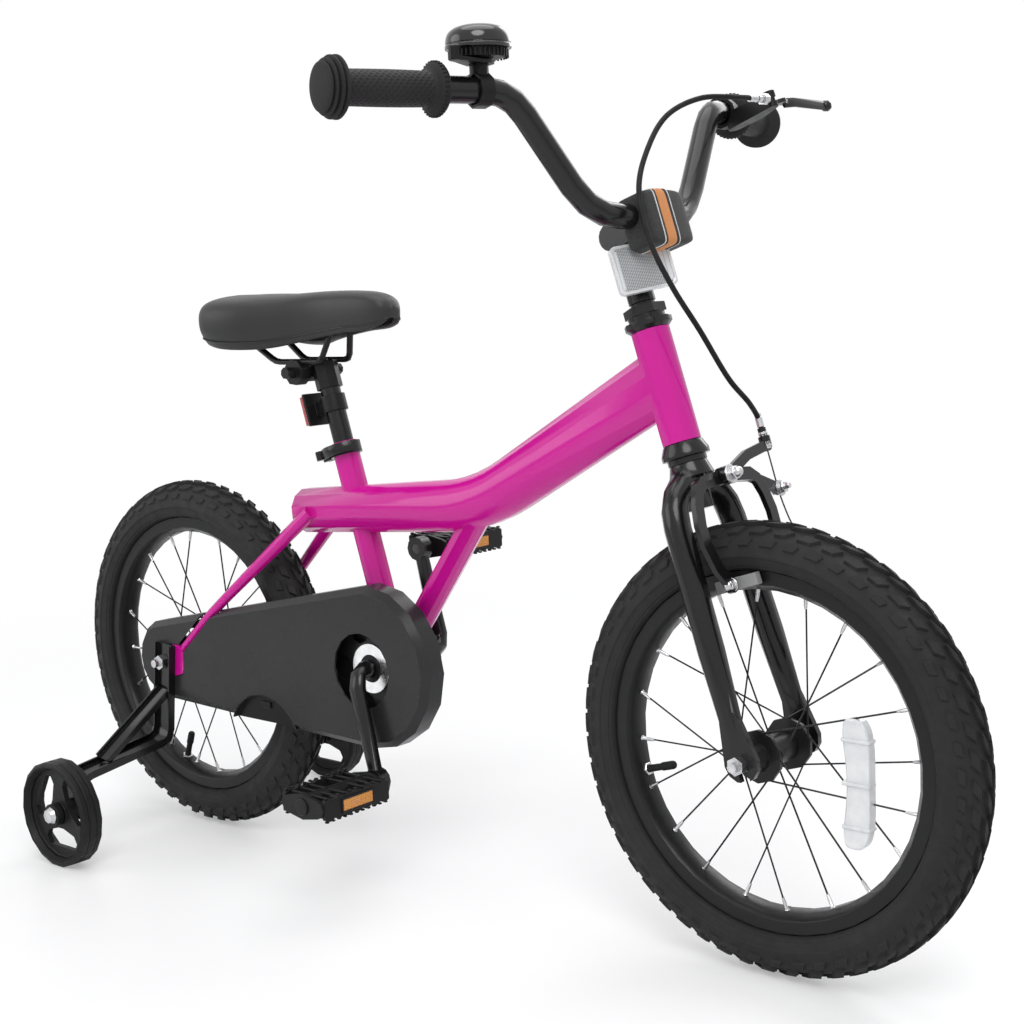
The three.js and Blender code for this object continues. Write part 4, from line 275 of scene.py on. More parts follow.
def moulded(name, colour, shade, edge_colour, rough, grain, depth):
    """Plastic or rubber: a fine pitted grain, dusty tone changes and rubbed edges."""
    p = Paper(name)
    dusty = p.sum(p.noise(14, 4), p.noise(600, 2), 0.25)
    tone = p.colour(dusty, colour, shade, 0.4, 0.85)
    p.set(Base_Color=p.over(p.spread(p.edge(0.001), 0, 0.45, 0, 1), tone, edge_colour))
    p.set(Roughness=p.spread(p.noise(90, 4), rough * 0.85, min(1.0, rough * 1.2)), Specular_IOR_Level=0.17)
    p.bump(p.sum(p.cells(grain), p.noise(grain * 0.5, 2), 0.8), depth)


def metal(name, colour, shade, rough, streak, depth):
    """Plated or drawn steel: fine streaks, small stains and a soft broken gloss."""
    p = Paper(name)
    drawn = p.noise(streak, 3, (1, 9, 1))
    p.set(Base_Color=p.colour(p.noise(120, 4), colour, shade))
    p.set(Roughness=p.spread(drawn, rough * 0.7, rough * 1.4), Metallic=1.0)
    p.bump(drawn, depth, 0.6, 0.0004)


def prism_lens(name, colour, deep, pitch, clear):
    """A moulded reflector lens: rows of small pyramids behind a polished face, painted shade between them.
    """
    p = Paper(name)
    place = p.axes()
    low = p.math("MINIMUM", p.math("PINGPONG", place["Y"], pitch), p.math("PINGPONG", place["Z"], pitch))
    # Base colour: the deep colour is painted shade in the valleys between the pyramids; the first colour is
    # the lens's own.
    p.set(Base_Color=p.colour(low, deep, colour, 0, pitch * 0.7))
    p.set(Roughness=p.spread(p.noise(300, 2), 0.08, 0.2))
    p.set(Transmission_Weight=clear, IOR=acrylic_index, Coat_Weight=0.6, Coat_Roughness=0.05)
    p.bump(low, 1.0, 0.5, 0.0003)


def clear_moulding(name, colour, shade):
    """Clear acrylic over a pale back, with faint moulding waves."""
    p = Paper(name)
    p.set(Base_Color=p.colour(p.noise(90, 3), colour, shade))
    p.set(Roughness=p.spread(p.noise(400, 2), 0.1, 0.22))
    p.set(IOR=acrylic_index, Coat_Weight=0.5, Coat_Roughness=0.05, Transmission_Weight=0.2)
    p.bump(p.noise(300, 2), 4e-5, 1.0, 0.0004)


def leather(name, colour, shade):
    """Soft vinyl: a fine creased grain and slow changes of tone."""
    p = Paper(name)
    p.set(Base_Color=p.colour(p.noise(9, 4), colour, shade))
    p.set(Roughness=p.spread(p.noise(16, 4), 0.36, 0.46), Specular_IOR_Level=0.3)
    p.bump(p.sum(p.cells(1300), p.noise(700, 3), 0.7), 6e-5, 1.0, 0)


def woven(name, colour, shade, pitch, depth, sheen):
    """Plain weave: two rows of threads that pass over and under each other."""
    p = Paper(name)
    place = p.axes()
    warp, weft = (p.math("SINE", p.math("MULTIPLY", place[axis], math.pi / pitch)) for axis in "YZ")
    fuzz = p.sum(p.math("MULTIPLY", warp, weft), p.noise(1800, 3), 0.8)
    p.set(Base_Color=p.colour(fuzz, shade, colour, -0.6, 1.2))
    p.set(Roughness=p.spread(p.noise(500, 3), 0.7, 0.95), Sheen_Weight=sheen, Sheen_Roughness=0.5)
    p.bump(fuzz, depth, 0.8, 0)


def diamond_rubber(name, colour, shade, twist, diamonds, start, end):
    """Rubber with raised diamonds round its own axis, between two heights."""
    p = Paper(name)
    place = p.axes()
    angle = p.math("ARCTAN2", place["Y"], place["X"])
    leans = (p.math("MULTIPLY", place["Z"], way * twist) for way in (1, -1))
    cut = p.math("MAXIMUM", *(p.math("SINE", p.sum(lean, angle, diamonds)) for lean in leans))
    for test, height in (("GREATER_THAN", start), ("LESS_THAN", end)):
        cut = p.math("MULTIPLY", cut, p.math(test, place["Z"], height))
    p.set(Base_Color=p.colour(p.noise(20, 4), colour, shade))
    p.set(Roughness=p.spread(cut, 0.7, 0.5, 0, 1), Specular_IOR_Level=0.2)
    p.bump(p.sum(cut, p.noise(2500, 2), 0.15), 0.00035, 0.7, 0)


def grooved(name, colour, shade, deep, pitch):
    """Solid rubber with grooves that run round the wheel's tread, and painted shade inside the grooves."""
    p = Paper(name)
    fold = p.math("PINGPONG", p.axes()["Y"], pitch)
    groove = p.spread(fold, 0, 1, pitch * 0.12, pitch * 0.34)
    # The deep colour fills the grooves: painted shade.
    p.set(Base_Color=p.over(groove, deep, p.colour(p.noise(30, 4), colour, shade)))
    p.set(Roughness=p.spread(p.noise(200, 3), 0.45, 0.6), Specular_IOR_Level=0.2)
    p.bump(p.sum(groove, p.noise(1600, 2), 0.06), 0.0008, 0.9, 0)


def grey(value, blue=0.0005):
    return value, value, value + blue


gloss_paint("frame_paint", (0.6, 0.005, 0.29), (0.55, 0.004, 0.262), (0.64, 0.02, 0.34), 0.16, 0.16, 3e-5,
            0.28)
gloss_paint("black_paint", grey(0.006), grey(0.009), grey(0.022, 0.001), 0.2, 0.12, 3e-5, 0.28)
gloss_paint("satin_black", grey(0.007), grey(0.011), grey(0.028, 0.001), 0.34, 0.05, 4e-5, 0.2)
gloss_paint("bell_gloss", grey(0.005), grey(0.008), grey(0.02, 0.001), 0.14, 0.3, 1e-5, 0.4)
moulded("tyre", grey(0.018, 0.0003), (0.025, 0.0247, 0.0243), grey(0.034, 0), 0.62, 1400, 6e-5)
moulded("rubber", grey(0.008), grey(0.012), grey(0.022, 0.001), 0.58, 1700, 5e-5)
moulded("black_plastic", grey(0.008), grey(0.013), grey(0.028, 0.002), 0.38, 2100, 3e-5)
moulded("guard_plastic", grey(0.024, 0.0008), grey(0.03, 0.001), grey(0.06, 0.002), 0.24, 1500, 2e-5)
moulded("shoe_rubber", grey(0.3, 0), grey(0.22, 0), grey(0.38, 0), 0.6, 1500, 6e-5)
metal("steel", grey(0.62, 0.01), grey(0.45, 0.01), 0.26, 900, 3e-5)
metal("dark_steel", grey(0.06, 0.002), grey(0.11, 0), 0.34, 900, 3e-5)
metal("silver", grey(0.82, 0.01), grey(0.68, 0.01), 0.22, 700, 2e-5)
# Each lens's second colour is painted shade for the valleys between its prisms.
prism_lens("clear_lens", (0.74, 0.76, 0.78), (0.1, 0.105, 0.11), 0.00065, 0.1)
prism_lens("red_lens", (0.62, 0.01, 0.012), (0.25, 0.0, 0.003), 0.0012, 0.2)
prism_lens("amber_lens", (0.92, 0.37, 0.012), (0.6, 0.19, 0.003), 0.0012, 0.15)
clear_moulding("clear_border", (0.88, 0.89, 0.9), (0.76, 0.775, 0.79))
leather("saddle_cover", grey(0.022), grey(0.028))
woven("pad_fabric", grey(0.02, 0.001), grey(0.008, 0), 0.0007, 0.00012, 0.12)
woven("stripe_fabric", (0.72, 0.3, 0.1), (0.5, 0.17, 0.05), 0.0007, 0.00012, 0.1)
woven("border_fabric", grey(0.03, 0), grey(0.01, 0), 0.0005, 0.0001, 0.1)
woven("piping", (0.8, 0.79, 0.76), (0.6, 0.59, 0.56), 0.0004, 6e-5, 0.1)
diamond_rubber("grip_rubber", grey(0.015), grey(0.02), 1150, 16, 0.011, 0.085)
# The last grey is painted shade inside the grooves.
grooved("trainer_rubber", grey(0.009), grey(0.013), grey(0.003, 0), 0.0047)


# ---------------- finish of the CAD nodes
def both(*names):
    """The names of pieces that come as a right and a left one."""
    return " ".join(name + side for name in names for side in ("_right", "_left"))


finishes = {
    "frame_paint": "frame",
    "black_paint": "fork stem handlebar seat_post crank bell_dome stem_cap headset_lock_nut seat_collar "
                   "lower_head_cup upper_head_cup seat_lever brake_lever "
                   + both("training_bracket", "caliper_arm"),
    "satin_black": "front_rim rear_rim front_hub rear_hub seat_clamp saddle_rails chainring coaster_arm "
                   "front_reflector_bracket rear_reflector_bracket bracket_cup_left",
    "tyre": "front_tyre rear_tyre",
    "rubber": "stem_pad saddle " + both("grip"),
    "shoe_rubber": both("brake_shoe"),
    "trainer_rubber": both("training_wheel"),
    "black_plastic": "bell_base bell_lever brake_bracket saddle_base brake_cable " + both("pedal"),
    "guard_plastic": "chain_guard",
    "steel": "rear_axle front_axle caliper_bolt lever_adjuster bracket_cup_right " + both("training_axle"),
    "dark_steel": "chain rear_sprocket " + both("pedal_axle"),
    "clear_lens": "front_reflector",
    "red_lens": "rear_reflector",
}
# Edges sharper than this many degrees stay hard. Bent tubes with few sides take a higher limit.
usual_crease = 40
fine_creases = {
    50: "frame coaster_arm bell_base " + both("caliper_arm"),
    55: "brake_lever",
    60: "seat_lever",
    62: "saddle_rails",
    64: "crank fork handlebar " + both("training_bracket"),
    75: "brake_cable",
}
# Pieces whose edges are rounded, by the width of the rounding in metres.
edge_widths = {
    0.0028: "chain_guard",
    0.002: both("training_wheel"),
    0.0012: "stem stem_cap",
    0.001: "brake_bracket front_reflector rear_reflector " + both("brake_shoe"),
    0.0008: "headset_lock_nut lower_head_cup upper_head_cup seat_clamp seat_collar front_rim rear_rim "
            "rear_reflector_bracket front_reflector_bracket " + both("pedal"),
}
weld_reach, flat_limit, edge_steps, face_weight = 0.00002, 1.5, 3, 100


def by_name(table, name, other=None):
    return next((key for key, names in table.items() if name in names.split()), other)


def modified(piece, name, kind, **values):
    modifier = piece.modifiers.new(name, kind)
    for key, value in values.items():
        setattr(modifier, key, value)


def smoothed(piece):
    """Smooth shading with hard edges kept, done with modifiers so the mesh stays as it is."""
    for face in piece.data.polygons:
        face.use_smooth = True
    angle = math.radians(by_name(fine_creases, piece.name, usual_crease))
    width = by_name(edge_widths, piece.name)
    modified(piece, "weld", "WELD", merge_threshold=weld_reach)
    if width:
        modified(piece, "flat", "DECIMATE", decimate_type="DISSOLVE", angle_limit=math.radians(flat_limit))
        modified(piece, "edges", "BEVEL", width=width, segments=edge_steps, limit_method="ANGLE",
                 angle_limit=angle, use_clamp_overlap=True)
    modified(piece, "split", "EDGE_SPLIT", split_angle=angle, use_edge_sharp=False)
    if width:
        modified(piece, "weighted", "WEIGHTED_NORMAL", weight=face_weight, keep_sharp=False)


def dress():
    for finish, names in finishes.items():
        for name in names.split():
            piece = nodes[name]
            piece.data.materials.clear()
            piece.data.materials.append(materials[finish])
            for face in piece.data.polygons:
                face.material_index = 0
            if "custom_normal" in piece.data.attributes:
                piece.data.attributes.remove(piece.data.attributes["custom_normal"])
            smoothed(piece)


dress()


# ---------------- building blocks, all in millimetres
# A skin is a pair: corners, and faces as tuples of corner numbers.
join_reach = 0.000005


def metres(point):
    return Vector(point) * 0.001


def made(name, skin, material, body, place=None, crease=30, replaced=()):
    """A mesh piece from a skin. place is its own frame, in metres, and crease is in degrees."""
    corners, faces = skin
    mesh = bpy.data.meshes.new(name)
    mesh.from_pydata([metres(c) for c in corners], [], faces)
    mesh.validate()
    work = bmesh.new()
    work.from_mesh(mesh)
    bmesh.ops.remove_doubles(work, verts=work.verts, dist=join_reach)
    bmesh.ops.recalc_face_normals(work, faces=work.faces)
    work.to_mesh(mesh)
    work.free()
    for face in mesh.polygons:
        face.use_smooth = True
    mesh.set_sharp_from_angle(angle=math.radians(crease))
    mesh.materials.append(materials[material])
    piece = bpy.data.objects.new(name, mesh)
    scene.collection.objects.link(piece)
    if place is not None:
        piece.matrix_world = place
    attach(piece, body)
    if replaced:
        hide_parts(*replaced)
    return piece


def rings_mesh(rings, closed_ends=True, loop=False):
    """A skin over rings that all have the same number of corners."""
    count = len(rings[0])
    corners = [c for ring in rings for c in ring]
    faces = []
    for i in range(len(rings) if loop else len(rings) - 1):
        here, there = i * count, ((i + 1) % len(rings)) * count
        for j in range(count):
            after = (j + 1) % count
            faces.append((here + j, here + after, there + after, there + j))
    if closed_ends and not loop:
        faces.append(tuple(range(count - 1, -1, -1)))
        last = (len(rings) - 1) * count
        faces.append(tuple(last + j for j in range(count)))
    return corners, faces


def circle(radius, height, sides):
    turns = [2 * math.pi * k / sides for k in range(sides)]
    return [(radius * math.cos(turn), radius * math.sin(turn), height) for turn in turns]


def lathe(profile, sides):
    """A turned skin about Z from pairs of radius and height."""
    return rings_mesh([circle(radius, height, sides) for radius, height in profile])


def ring_band(inner, outer, low, high, sides=72):
    """A flat ring about Z with its edges taken off."""
    trim = min(0.6, (high - low) * 0.3)
    section = ((inner, low + trim), (inner, high - trim), (inner + trim, high), (outer - trim, high),
               (outer, high - trim), (outer, low + trim), (outer - trim, low), (inner + trim, low))
    return rings_mesh([circle(r, h, sides) for r, h in section], loop=True)


def tube(points, radius, sides):
    """A round tube through points in millimetres."""
    rings = []
    side = None
    for i, point in enumerate(points):
        before = Vector(points[max(i - 1, 0)])
        after = Vector(points[min(i + 1, len(points) - 1)])
        along = (after - before).normalized()
        if side is None:
            side = along.orthogonal().normalized()
        side = (side - along * side.dot(along)).normalized()
        other = along.cross(side)
        rings.append([tuple(Vector(point) + side * x + other * y) for x, y, _ in circle(radius, 0, sides)])
    return rings_mesh(rings)


def smooth_line(points, steps):
    """A Catmull-Rom line through the points."""
    line = []
    for i in range(len(points) - 1):
        a = Vector(points[max(i - 1, 0)])
        b, c = Vector(points[i]), Vector(points[i + 1])
        d = Vector(points[min(i + 2, len(points) - 1)])
        for s in range(steps):
            t = s / steps
            line.append(tuple(0.5 * (2 * b + (c - a) * t + (2 * a - 5 * b + 4 * c - d) * t * t
                                     + (3 * b - a - 3 * c + d) * t ** 3)))
    line.append(tuple(points[-1]))
    return line


def merged(skins):
    corners, faces = [], []
    for more_corners, more_faces in skins:
        start = len(corners)
        corners += list(more_corners)
        faces += [tuple(start + i for i in face) for face in more_faces]
    return corners, faces


def moved(skin, matrix):
    """The skin moved by a matrix whose shift is in metres."""
    corners, faces = skin
    return [tuple((matrix @ metres(c)) * 1000) for c in corners], faces


def spun(skin, count, place=Matrix.Identity(4)):
    """Copies of the skin spread round the Z axis of a frame."""
    turns = [2 * math.pi * k / count for k in range(count)]
    return merged([moved(skin, place @ Matrix.Rotation(turn, 4, "Z")) for turn in turns])


def bevelled_box(low, high, bevel):
    """A box with its edges taken off."""
    end_inset = bevel * 0.7

    def ring(z, inset):
        (x0, y0), (x1, y1) = (a + inset for a in low[:2]), (a - inset for a in high[:2])
        b = bevel
        return [(x0 + b, y0, z), (x1 - b, y0, z), (x1, y0 + b, z), (x1, y1 - b, z),
                (x1 - b, y1, z), (x0 + b, y1, z), (x0, y1 - b, z), (x0, y0 + b, z)]
    return rings_mesh([ring(low[2], end_inset), ring(low[2] + bevel, 0), ring(high[2] - bevel, 0),
                       ring(high[2], end_inset)])


def shift(place):
    return Matrix.Translation(metres(place))


def axis_frame(place, axis):
    """A frame whose Z runs along the axis, at a place in millimetres."""
    return shift(place) @ Vector(axis).to_track_quat("Z", "Y").to_matrix().to_4x4()


def frame_of(place, ahead, up):
    """A frame with X ahead and Z up, at a place in millimetres."""
    return shift(place) @ Matrix((ahead, up.cross(ahead), up)).transposed().to_4x4()


# The steering's own frame.
steer_foot = Vector((779.19, 0, 203.80))
steer_ahead = Vector((0.9537, 0, 0.3007))
steer_up = Vector((-0.3007, 0, 0.9537))


def on_steer(ahead, side, height):
    return steer_foot + steer_ahead * ahead + Vector((0, side, 0)) + steer_up * height


# ---------------- wheels
wheel_middle = {"front": Vector((783, 0, 205)), "rear": Vector((0, 0, 205))}
tyre_columns = 144
# The round part of the tyre's section: the radius of its middle, its half width and height, and how much
# the tops of the tread blocks add to them.
section_radius, section_wide, section_high, block_wider, block_higher = 178, 23.2, 22.3, 1.7, 4.5
# Half of the section below it, from the sidewall over the bead into the rim.
tyre_bead = [
    (24.1, 178), (24.6, 176.6), (24.5, 175.4), (23.6, 174.6), (22.9, 171), (21.4, 167.6), (20.6, 167.2),
    (20.2, 165.6), (18.2, 163.8), (15.6, 163.2)
]
# Rows of tread blocks: degrees from the crown, width in degrees, stagger in pitches, and lean.
block_rows = (
    (-66, 15, 0.5, 1), (-38, 17, 0.0, 2), (-9.5, 13, 0.5, 3), (9.5, 13, 0.0, 3), (38, 17, 0.5, 2),
    (66, 15, 0.0, 1)
)
blocks_round = 52
block_corners = ((-0.5, -1), (-0.5, 1), (0.5, 1), (0.5, -1))
# In pitches: half the length of long and short blocks, and the skew for each step of lean.
long_share, short_share, skew_share = 0.31, 0.25, 0.07
block_top_share, block_root_lift = 0.84, -0.15

spokes = 20
hub_radius, hub_side, hub_crossing, hub_lean = 22, 25, 1.6, 56
rim_radius, rim_side = 144.4, 2
nipple_sink = 1.5
nipple_profile = [
    (0, -0.6), (2.6, -0.6), (2.9, 0.4), (2.2, 1.6), (1.75, 2.4), (1.7, 9), (1.45, 10.6), (1.3, 13), (0, 13)
]
valve_foot = 146
valve_turns = {"front": 196, "rear": 250}
valve_profile = [
    (0, 0), (5.4, 0), (5.4, 1.4), (3.9, 3), (3.5, 8), (3.3, 19), (3.9, 20), (4.1, 21), (4.1, 32), (3.6, 34),
    (2.6, 35), (0, 35)
]
valve_nut_profile = [(5.6, 1.2), (6.4, 1.6), (6.4, 3.8), (5.8, 4.4), (3.4, 4.4), (3.4, 1.2)]


def tread(angle, lift):
    """A place on the section, by degrees from the crown and lift from the rubber, 0, to the blocks, 1."""
    turn = math.radians(angle)
    return ((section_wide + block_wider * lift) * math.sin(turn),
            section_radius + (section_high + block_higher * lift) * math.cos(turn))


def around(turn, y, radius):
    return (radius * math.cos(turn), y, radius * math.sin(turn))


def tread_block(turn, middle, width, half_long, skew):
    """One block: its root in the rubber, and its smaller top."""
    layers = []
    for share, lift in ((1, block_root_lift), (block_top_share, 1)):
        wide, long = width * share, half_long * share
        layers.append([around(turn + t * long + skew * a * 2, *tread(middle + a * wide, lift))
                       for a, t in block_corners])
    return rings_mesh(layers)


def make_tyre(wheel):
    half = [tread(angle, 0) for angle in range(0, 81, 8)] + tyre_bead
    section = half + [(-y, r) for y, r in reversed(half[1:])]
    turns = [2 * math.pi * k / tyre_columns for k in range(tyre_columns)]
    parts = [rings_mesh([[around(turn, y, r) for y, r in section] for turn in turns], loop=True)]
    pitch = 2 * math.pi / blocks_round
    for middle, width, stagger, lean in block_rows:
        skew = math.copysign(1, middle) * pitch * skew_share * lean
        for k in range(blocks_round):
            half_long = (long_share if (k + lean) % 2 else short_share) * pitch
            parts.append(tread_block(pitch * (k + stagger), middle, width, half_long, skew))
    made(wheel + "_tyre_tread", merged(parts), "tyre", wheel + "_wheel", shift(wheel_middle[wheel]), 32,
         [wheel + "_tyre"])


def spoke_ends(k):
    """A spoke's ends at the hub and at the rim, from the wheel's middle."""
    turn = (2 * k + 0.5) * math.pi / spokes
    side = 1 if k % 2 else -1
    lean = (1 if (k // 2) % 2 else -1) * math.radians(hub_lean)

    def at(angle, radius, y):
        return Vector((radius * math.sin(angle), y, -radius * math.cos(angle)))
    return (at(turn + lean, hub_radius, side * (hub_side + math.copysign(hub_crossing, lean))),
            at(turn, rim_radius, side * rim_side))


def make_nipples(wheel):
    """The steel nipples that the spokes end in."""
    parts = []
    for start, end in map(spoke_ends, range(spokes)):
        way = (start - end).normalized()
        parts.append(moved(lathe(nipple_profile, 10), axis_frame(end - way * nipple_sink, way)))
    made(wheel + "_spoke_nipples", merged(parts), "steel", wheel + "_wheel", shift(wheel_middle[wheel]), 40)


def make_valve(wheel):
    way = Vector(around(math.radians(valve_turns[wheel]), 0, 1))
    place = axis_frame(wheel_middle[wheel] + way * valve_foot, -way)
    made(wheel + "_valve", lathe(valve_profile, 20), "rubber", wheel + "_wheel", place)
    made(wheel + "_valve_nut", lathe(valve_nut_profile, 6), "steel", wheel + "_wheel", place, 20)


def make_spoke_reflector():
    """A clear reflector with rounded ends, clipped between two spokes."""
    length, width, waist, bow, sides = 57, 15, 11, 5, 48
    outline = []
    for x, z, _ in circle(1, 0, sides):
        wide = waist + (width - waist) * abs(z) ** 0.8
        across, along = math.copysign(abs(x) ** 0.62, x) * wide, math.copysign(abs(z) ** 0.5, z) * length
        outline.append((across + bow * (1 - (along / length) ** 2), along))
    layers = ((-4.4, 0.9), (-5.2, 0.97), (-4.4, 1), (4.4, 1), (5.2, 0.97), (4.4, 0.9))
    plate = rings_mesh([[(x * share, y, z * share) for x, z in outline] for y, share in layers])
    place = shift(wheel_middle["front"] + Vector((86, -9, -14)))
    made("spoke_reflector", plate, "clear_border", "front_wheel", place)
    clips = [bevelled_box((-11, -6, z - 1.6), (16, 6, z + 1.6), 0.6) for z in (-38, 0, 38)]
    made("spoke_reflector_clips", merged(clips), "clear_border", "front_wheel", place)


for name in wheel_middle:
    make_tyre(name)
    make_nipples(name)
for name in wheel_middle:
    make_valve(name)
make_spoke_reflector()


# ---------------- saddle and stem pad
# The saddle's stations from nose to tail, in shares: place along the length, half width, and drop of the
# crown and of the lower edge. Then the section, from the side to the middle.
saddle_runs = [0, 0.03, 0.1, 0.22, 0.36, 0.48, 0.6, 0.72, 0.84, 0.93, 0.98, 1]
saddle_halves = [0.1, 0.22, 0.29, 0.33, 0.38, 0.5, 0.7, 0.9, 1, 0.97, 0.84, 0.6]
saddle_crowns = [0.34, 0.17, 0.07, 0.03, 0.02, 0.03, 0.04, 0.03, 0.02, 0.03, 0.12, 0.26]
saddle_skirts = [0.5, 0.62, 0.7, 0.74, 0.82, 0.9, 0.98, 1, 0.98, 0.92, 0.84, 0.66]
section_sides = [0.82, 0.97, 1, 0.9, 0.62, 0.25]
section_drops = [1, 0.72, 0.4, 0.16, 0.045, 0]
saddle_length, saddle_half, saddle_top, saddle_nose, saddle_depth = 242, 72.4, 623.6, 340.5, 61.5
station_steps, section_steps = 4, 3
# The shallow channel along the crown: its depth, where it starts and ends, and how fast.
channel_depth, channel_start, channel_end, channel_fall, channel_rise = 1.1, 0.42, 0.98, 5, 8
saddle_wall = 0.0065
welt_side_share, welt_drop_share, welt_radius = 0.925, 0.845, 0.8


def spline(values, steps):
    return [p[0] for p in smooth_line([(v, 0, 0) for v in values], steps)]


def limited(share):
    return max(0.0, min(1.0, share))


def saddle_stations():
    """Each station's run, X, half width, and heights of the crown and the lower edge."""
    tables = (saddle_runs, saddle_halves, saddle_crowns, saddle_skirts)
    return [(run, saddle_nose - run * saddle_length, half * saddle_half, saddle_top - crown * saddle_depth,
             saddle_top - skirt * saddle_depth)
            for run, half, crown, skirt in zip(*(spline(table, station_steps) for table in tables))]


def saddle_skin():
    """The outer skin, open underneath and closed across the nose and the tail."""
    sides, drops = spline(section_sides, section_steps), spline(section_drops, section_steps)
    lines = []
    for run, x, half, top, low in saddle_stations():
        row = [(x, min(side, 1.0) * half, top - (top - low) * drop) for side, drop in zip(sides, drops)]
        fall, rise = (run - channel_start) * channel_fall, (channel_end - run) * channel_rise
        crest = (x, 0, row[-1][2] - channel_depth * limited(fall) * limited(rise))
        lines.append(row + [crest] + [(a, -b, c) for a, b, c in reversed(row)])
    count = len(lines[0])
    faces = []
    for i in range(len(lines) - 1):
        for j in range(count - 1):
            a, b = i * count + j, (i + 1) * count + j
            faces.append((a, a + 1, b + 1, b))
    for base in (0, (len(lines) - 1) * count):
        for j in range(count // 2):
            a, b = base + j, base + count - 1 - j
            faces.append((a, a + 1, b - 1, b))
    return [corner for line in lines for corner in line], faces


def make_saddle():
    """The padded saddle: a crowned foam top with a rolled lower edge, hollow underneath."""
    piece = made("saddle_padded", saddle_skin(), "saddle_cover", "seat", None, 60, ["saddle"])
    modified(piece, "wall", "SOLIDIFY", thickness=saddle_wall, offset=-1, use_even_offset=False)
    modified(piece, "soft", "SUBSURF", levels=1, render_levels=1)
    with bpy.context.temp_override(object=piece, active_object=piece, selected_objects=[piece]):
        bpy.context.view_layer.objects.active = piece
        for modifier in ("wall", "soft"):
            bpy.ops.object.modifier_apply(modifier=modifier)
    for face in piece.data.polygons:
        face.use_smooth = True
    welts = []
    for sign in (1, -1):
        welts.append(tube([(x, sign * welt_side_share * half, top - (top - low) * welt_drop_share)
                           for _, x, half, top, low in saddle_stations()[1:-1]], welt_radius, 6))
    made("saddle_lower_welt", merged(welts), "saddle_cover", "seat", None, 60)


pad_place = frame_of(on_steer(33, 0, 478), steer_ahead, steer_up)
pad_half_width, pad_back, pad_front, pad_tall = 29, -11, 21, 25
pad_middle, pad_deep = (pad_front + pad_back) / 2, (pad_front - pad_back) / 2
pad_rows, pad_turns = 15, 44
pad_squareness = 0.24
# The section swells by the first amount at mid width, less the second all over.
pad_swell_deep, pad_swell_tall = (1.4, 0.5), (1.0, 0.4)
# Rings that close the sides: share of the last section, and how far they stand out.
pad_caps = ((0.965, 0.5), (0.8, 0.75), (0.4, 0.8))
# Sewn bands: name, right and left edge, height over the pad, and material.
pad_bands = (
    ("stripe", -12, 1, 0.75, "stripe_fabric"),
    ("border_right", -15.4, -12.4, 0.7, "border_fabric"),
    ("border_left", 1.4, 4.4, 0.7, "border_fabric"),
)
band_thickness, band_roll_share = 0.7, 0.2
pad_pipings = (("right", -15.9), ("left", 4.9))
stitch_rows, stitch_pitch, stitch_least, stitch_radius = (-16.4, 5.4), 3.4, 1.2, 0.28
stitch_shares, stitch_lifts = (0.2, 0.8), (0.1, 0.5, 0.1)


def pad_ring(share):
    """One ring of the pad's section, at a share of its half width from -1 to 1."""
    pull, full = 1 - 0.06 * abs(share) ** 7, 1 - share * share
    ring = []
    for c, s, _ in circle(1, 0, pad_turns):
        x = math.copysign(abs(c) ** pad_squareness, c) * pad_deep * pull
        z = math.copysign(abs(s) ** pad_squareness, s) * pad_tall * pull
        x += (pad_swell_deep[0] * full - pad_swell_deep[1]) * c
        z += (pad_swell_tall[0] * full - pad_swell_tall[1]) * s
        ring.append((pad_middle + x, share * pad_half_width, z))
    return ring


def scaled_ring(ring, deep, tall, sideways=0):
    return [(pad_middle + (x - pad_middle) * deep, y + sideways, z * tall) for x, y, z in ring]


def pad_band(low, high, lift):
    """A sewn band round the pad between two sideways places, with its edges turned in."""
    roll = band_roll_share * (high - low)
    strips = []
    for y in (low, low + roll, high - roll, high):
        out = lift - (band_thickness if y in (low, high) else 0)
        strips.append(scaled_ring(pad_ring(y / pad_half_width), 1 + out / pad_deep, 1 + out / pad_tall))
    return rings_mesh(strips, closed_ends=False)


def stitch(start, end):
    out = Vector((start.x - pad_middle, 0, start.z)).normalized()
    places = start, start.lerp(end, 0.5), end
    return tube([tuple(place + out * lift) for place, lift in zip(places, stitch_lifts)], stitch_radius, 5)


def pad_stitches():
    stitches = []
    for y in stitch_rows:
        ring = [Vector(corner) for corner in pad_ring(y / pad_half_width)]
        for a, b in zip(ring, ring[1:] + ring[:1]):
            reach = (b - a).length
            if reach < stitch_least:
                continue
            count = max(1, round(reach / stitch_pitch))
            stitches += [stitch(*(a.lerp(b, (n + share) / count) for share in stitch_shares))
                         for n in range(count)]
    return merged(stitches)


def make_pad():
    """A crowned fabric block round the bar, with a woven stripe, borders, piping and stitches."""
    rings = [pad_ring(-1 + 2 * i / (pad_rows - 1)) for i in range(pad_rows)]
    right, left = ([scaled_ring(pad_ring(sign), share, share, sign * lift) for share, lift in pad_caps]
                   for sign in (-1, 1))
    skin = rings_mesh(right[::-1] + rings + left)
    body = made("stem_pad_padded", skin, "pad_fabric", "steering", pad_place, 50, ["stem_pad"])
    for name, low, high, lift, material in pad_bands:
        made("stem_pad_" + name, pad_band(low, high, lift), material, "steering", pad_place, 60)
    for name, y in pad_pipings:
        line = scaled_ring(pad_ring(y / pad_half_width), 1.02, 1.015)
        made("stem_pad_piping_" + name, tube(line + line[:1], 0.5, 6), "piping", "steering", pad_place, 60)
    made("stem_pad_stitches", pad_stitches(), "piping", "steering", pad_place, 60)


make_saddle()
make_pad()


# ---------------- grips, bell and controls
cable_first = Vector((681.45, 155.4, 785.99))
cable_lead = Vector((727.59, 74, 489.82))
cable_last = Vector((729.99, 74, 482.19))

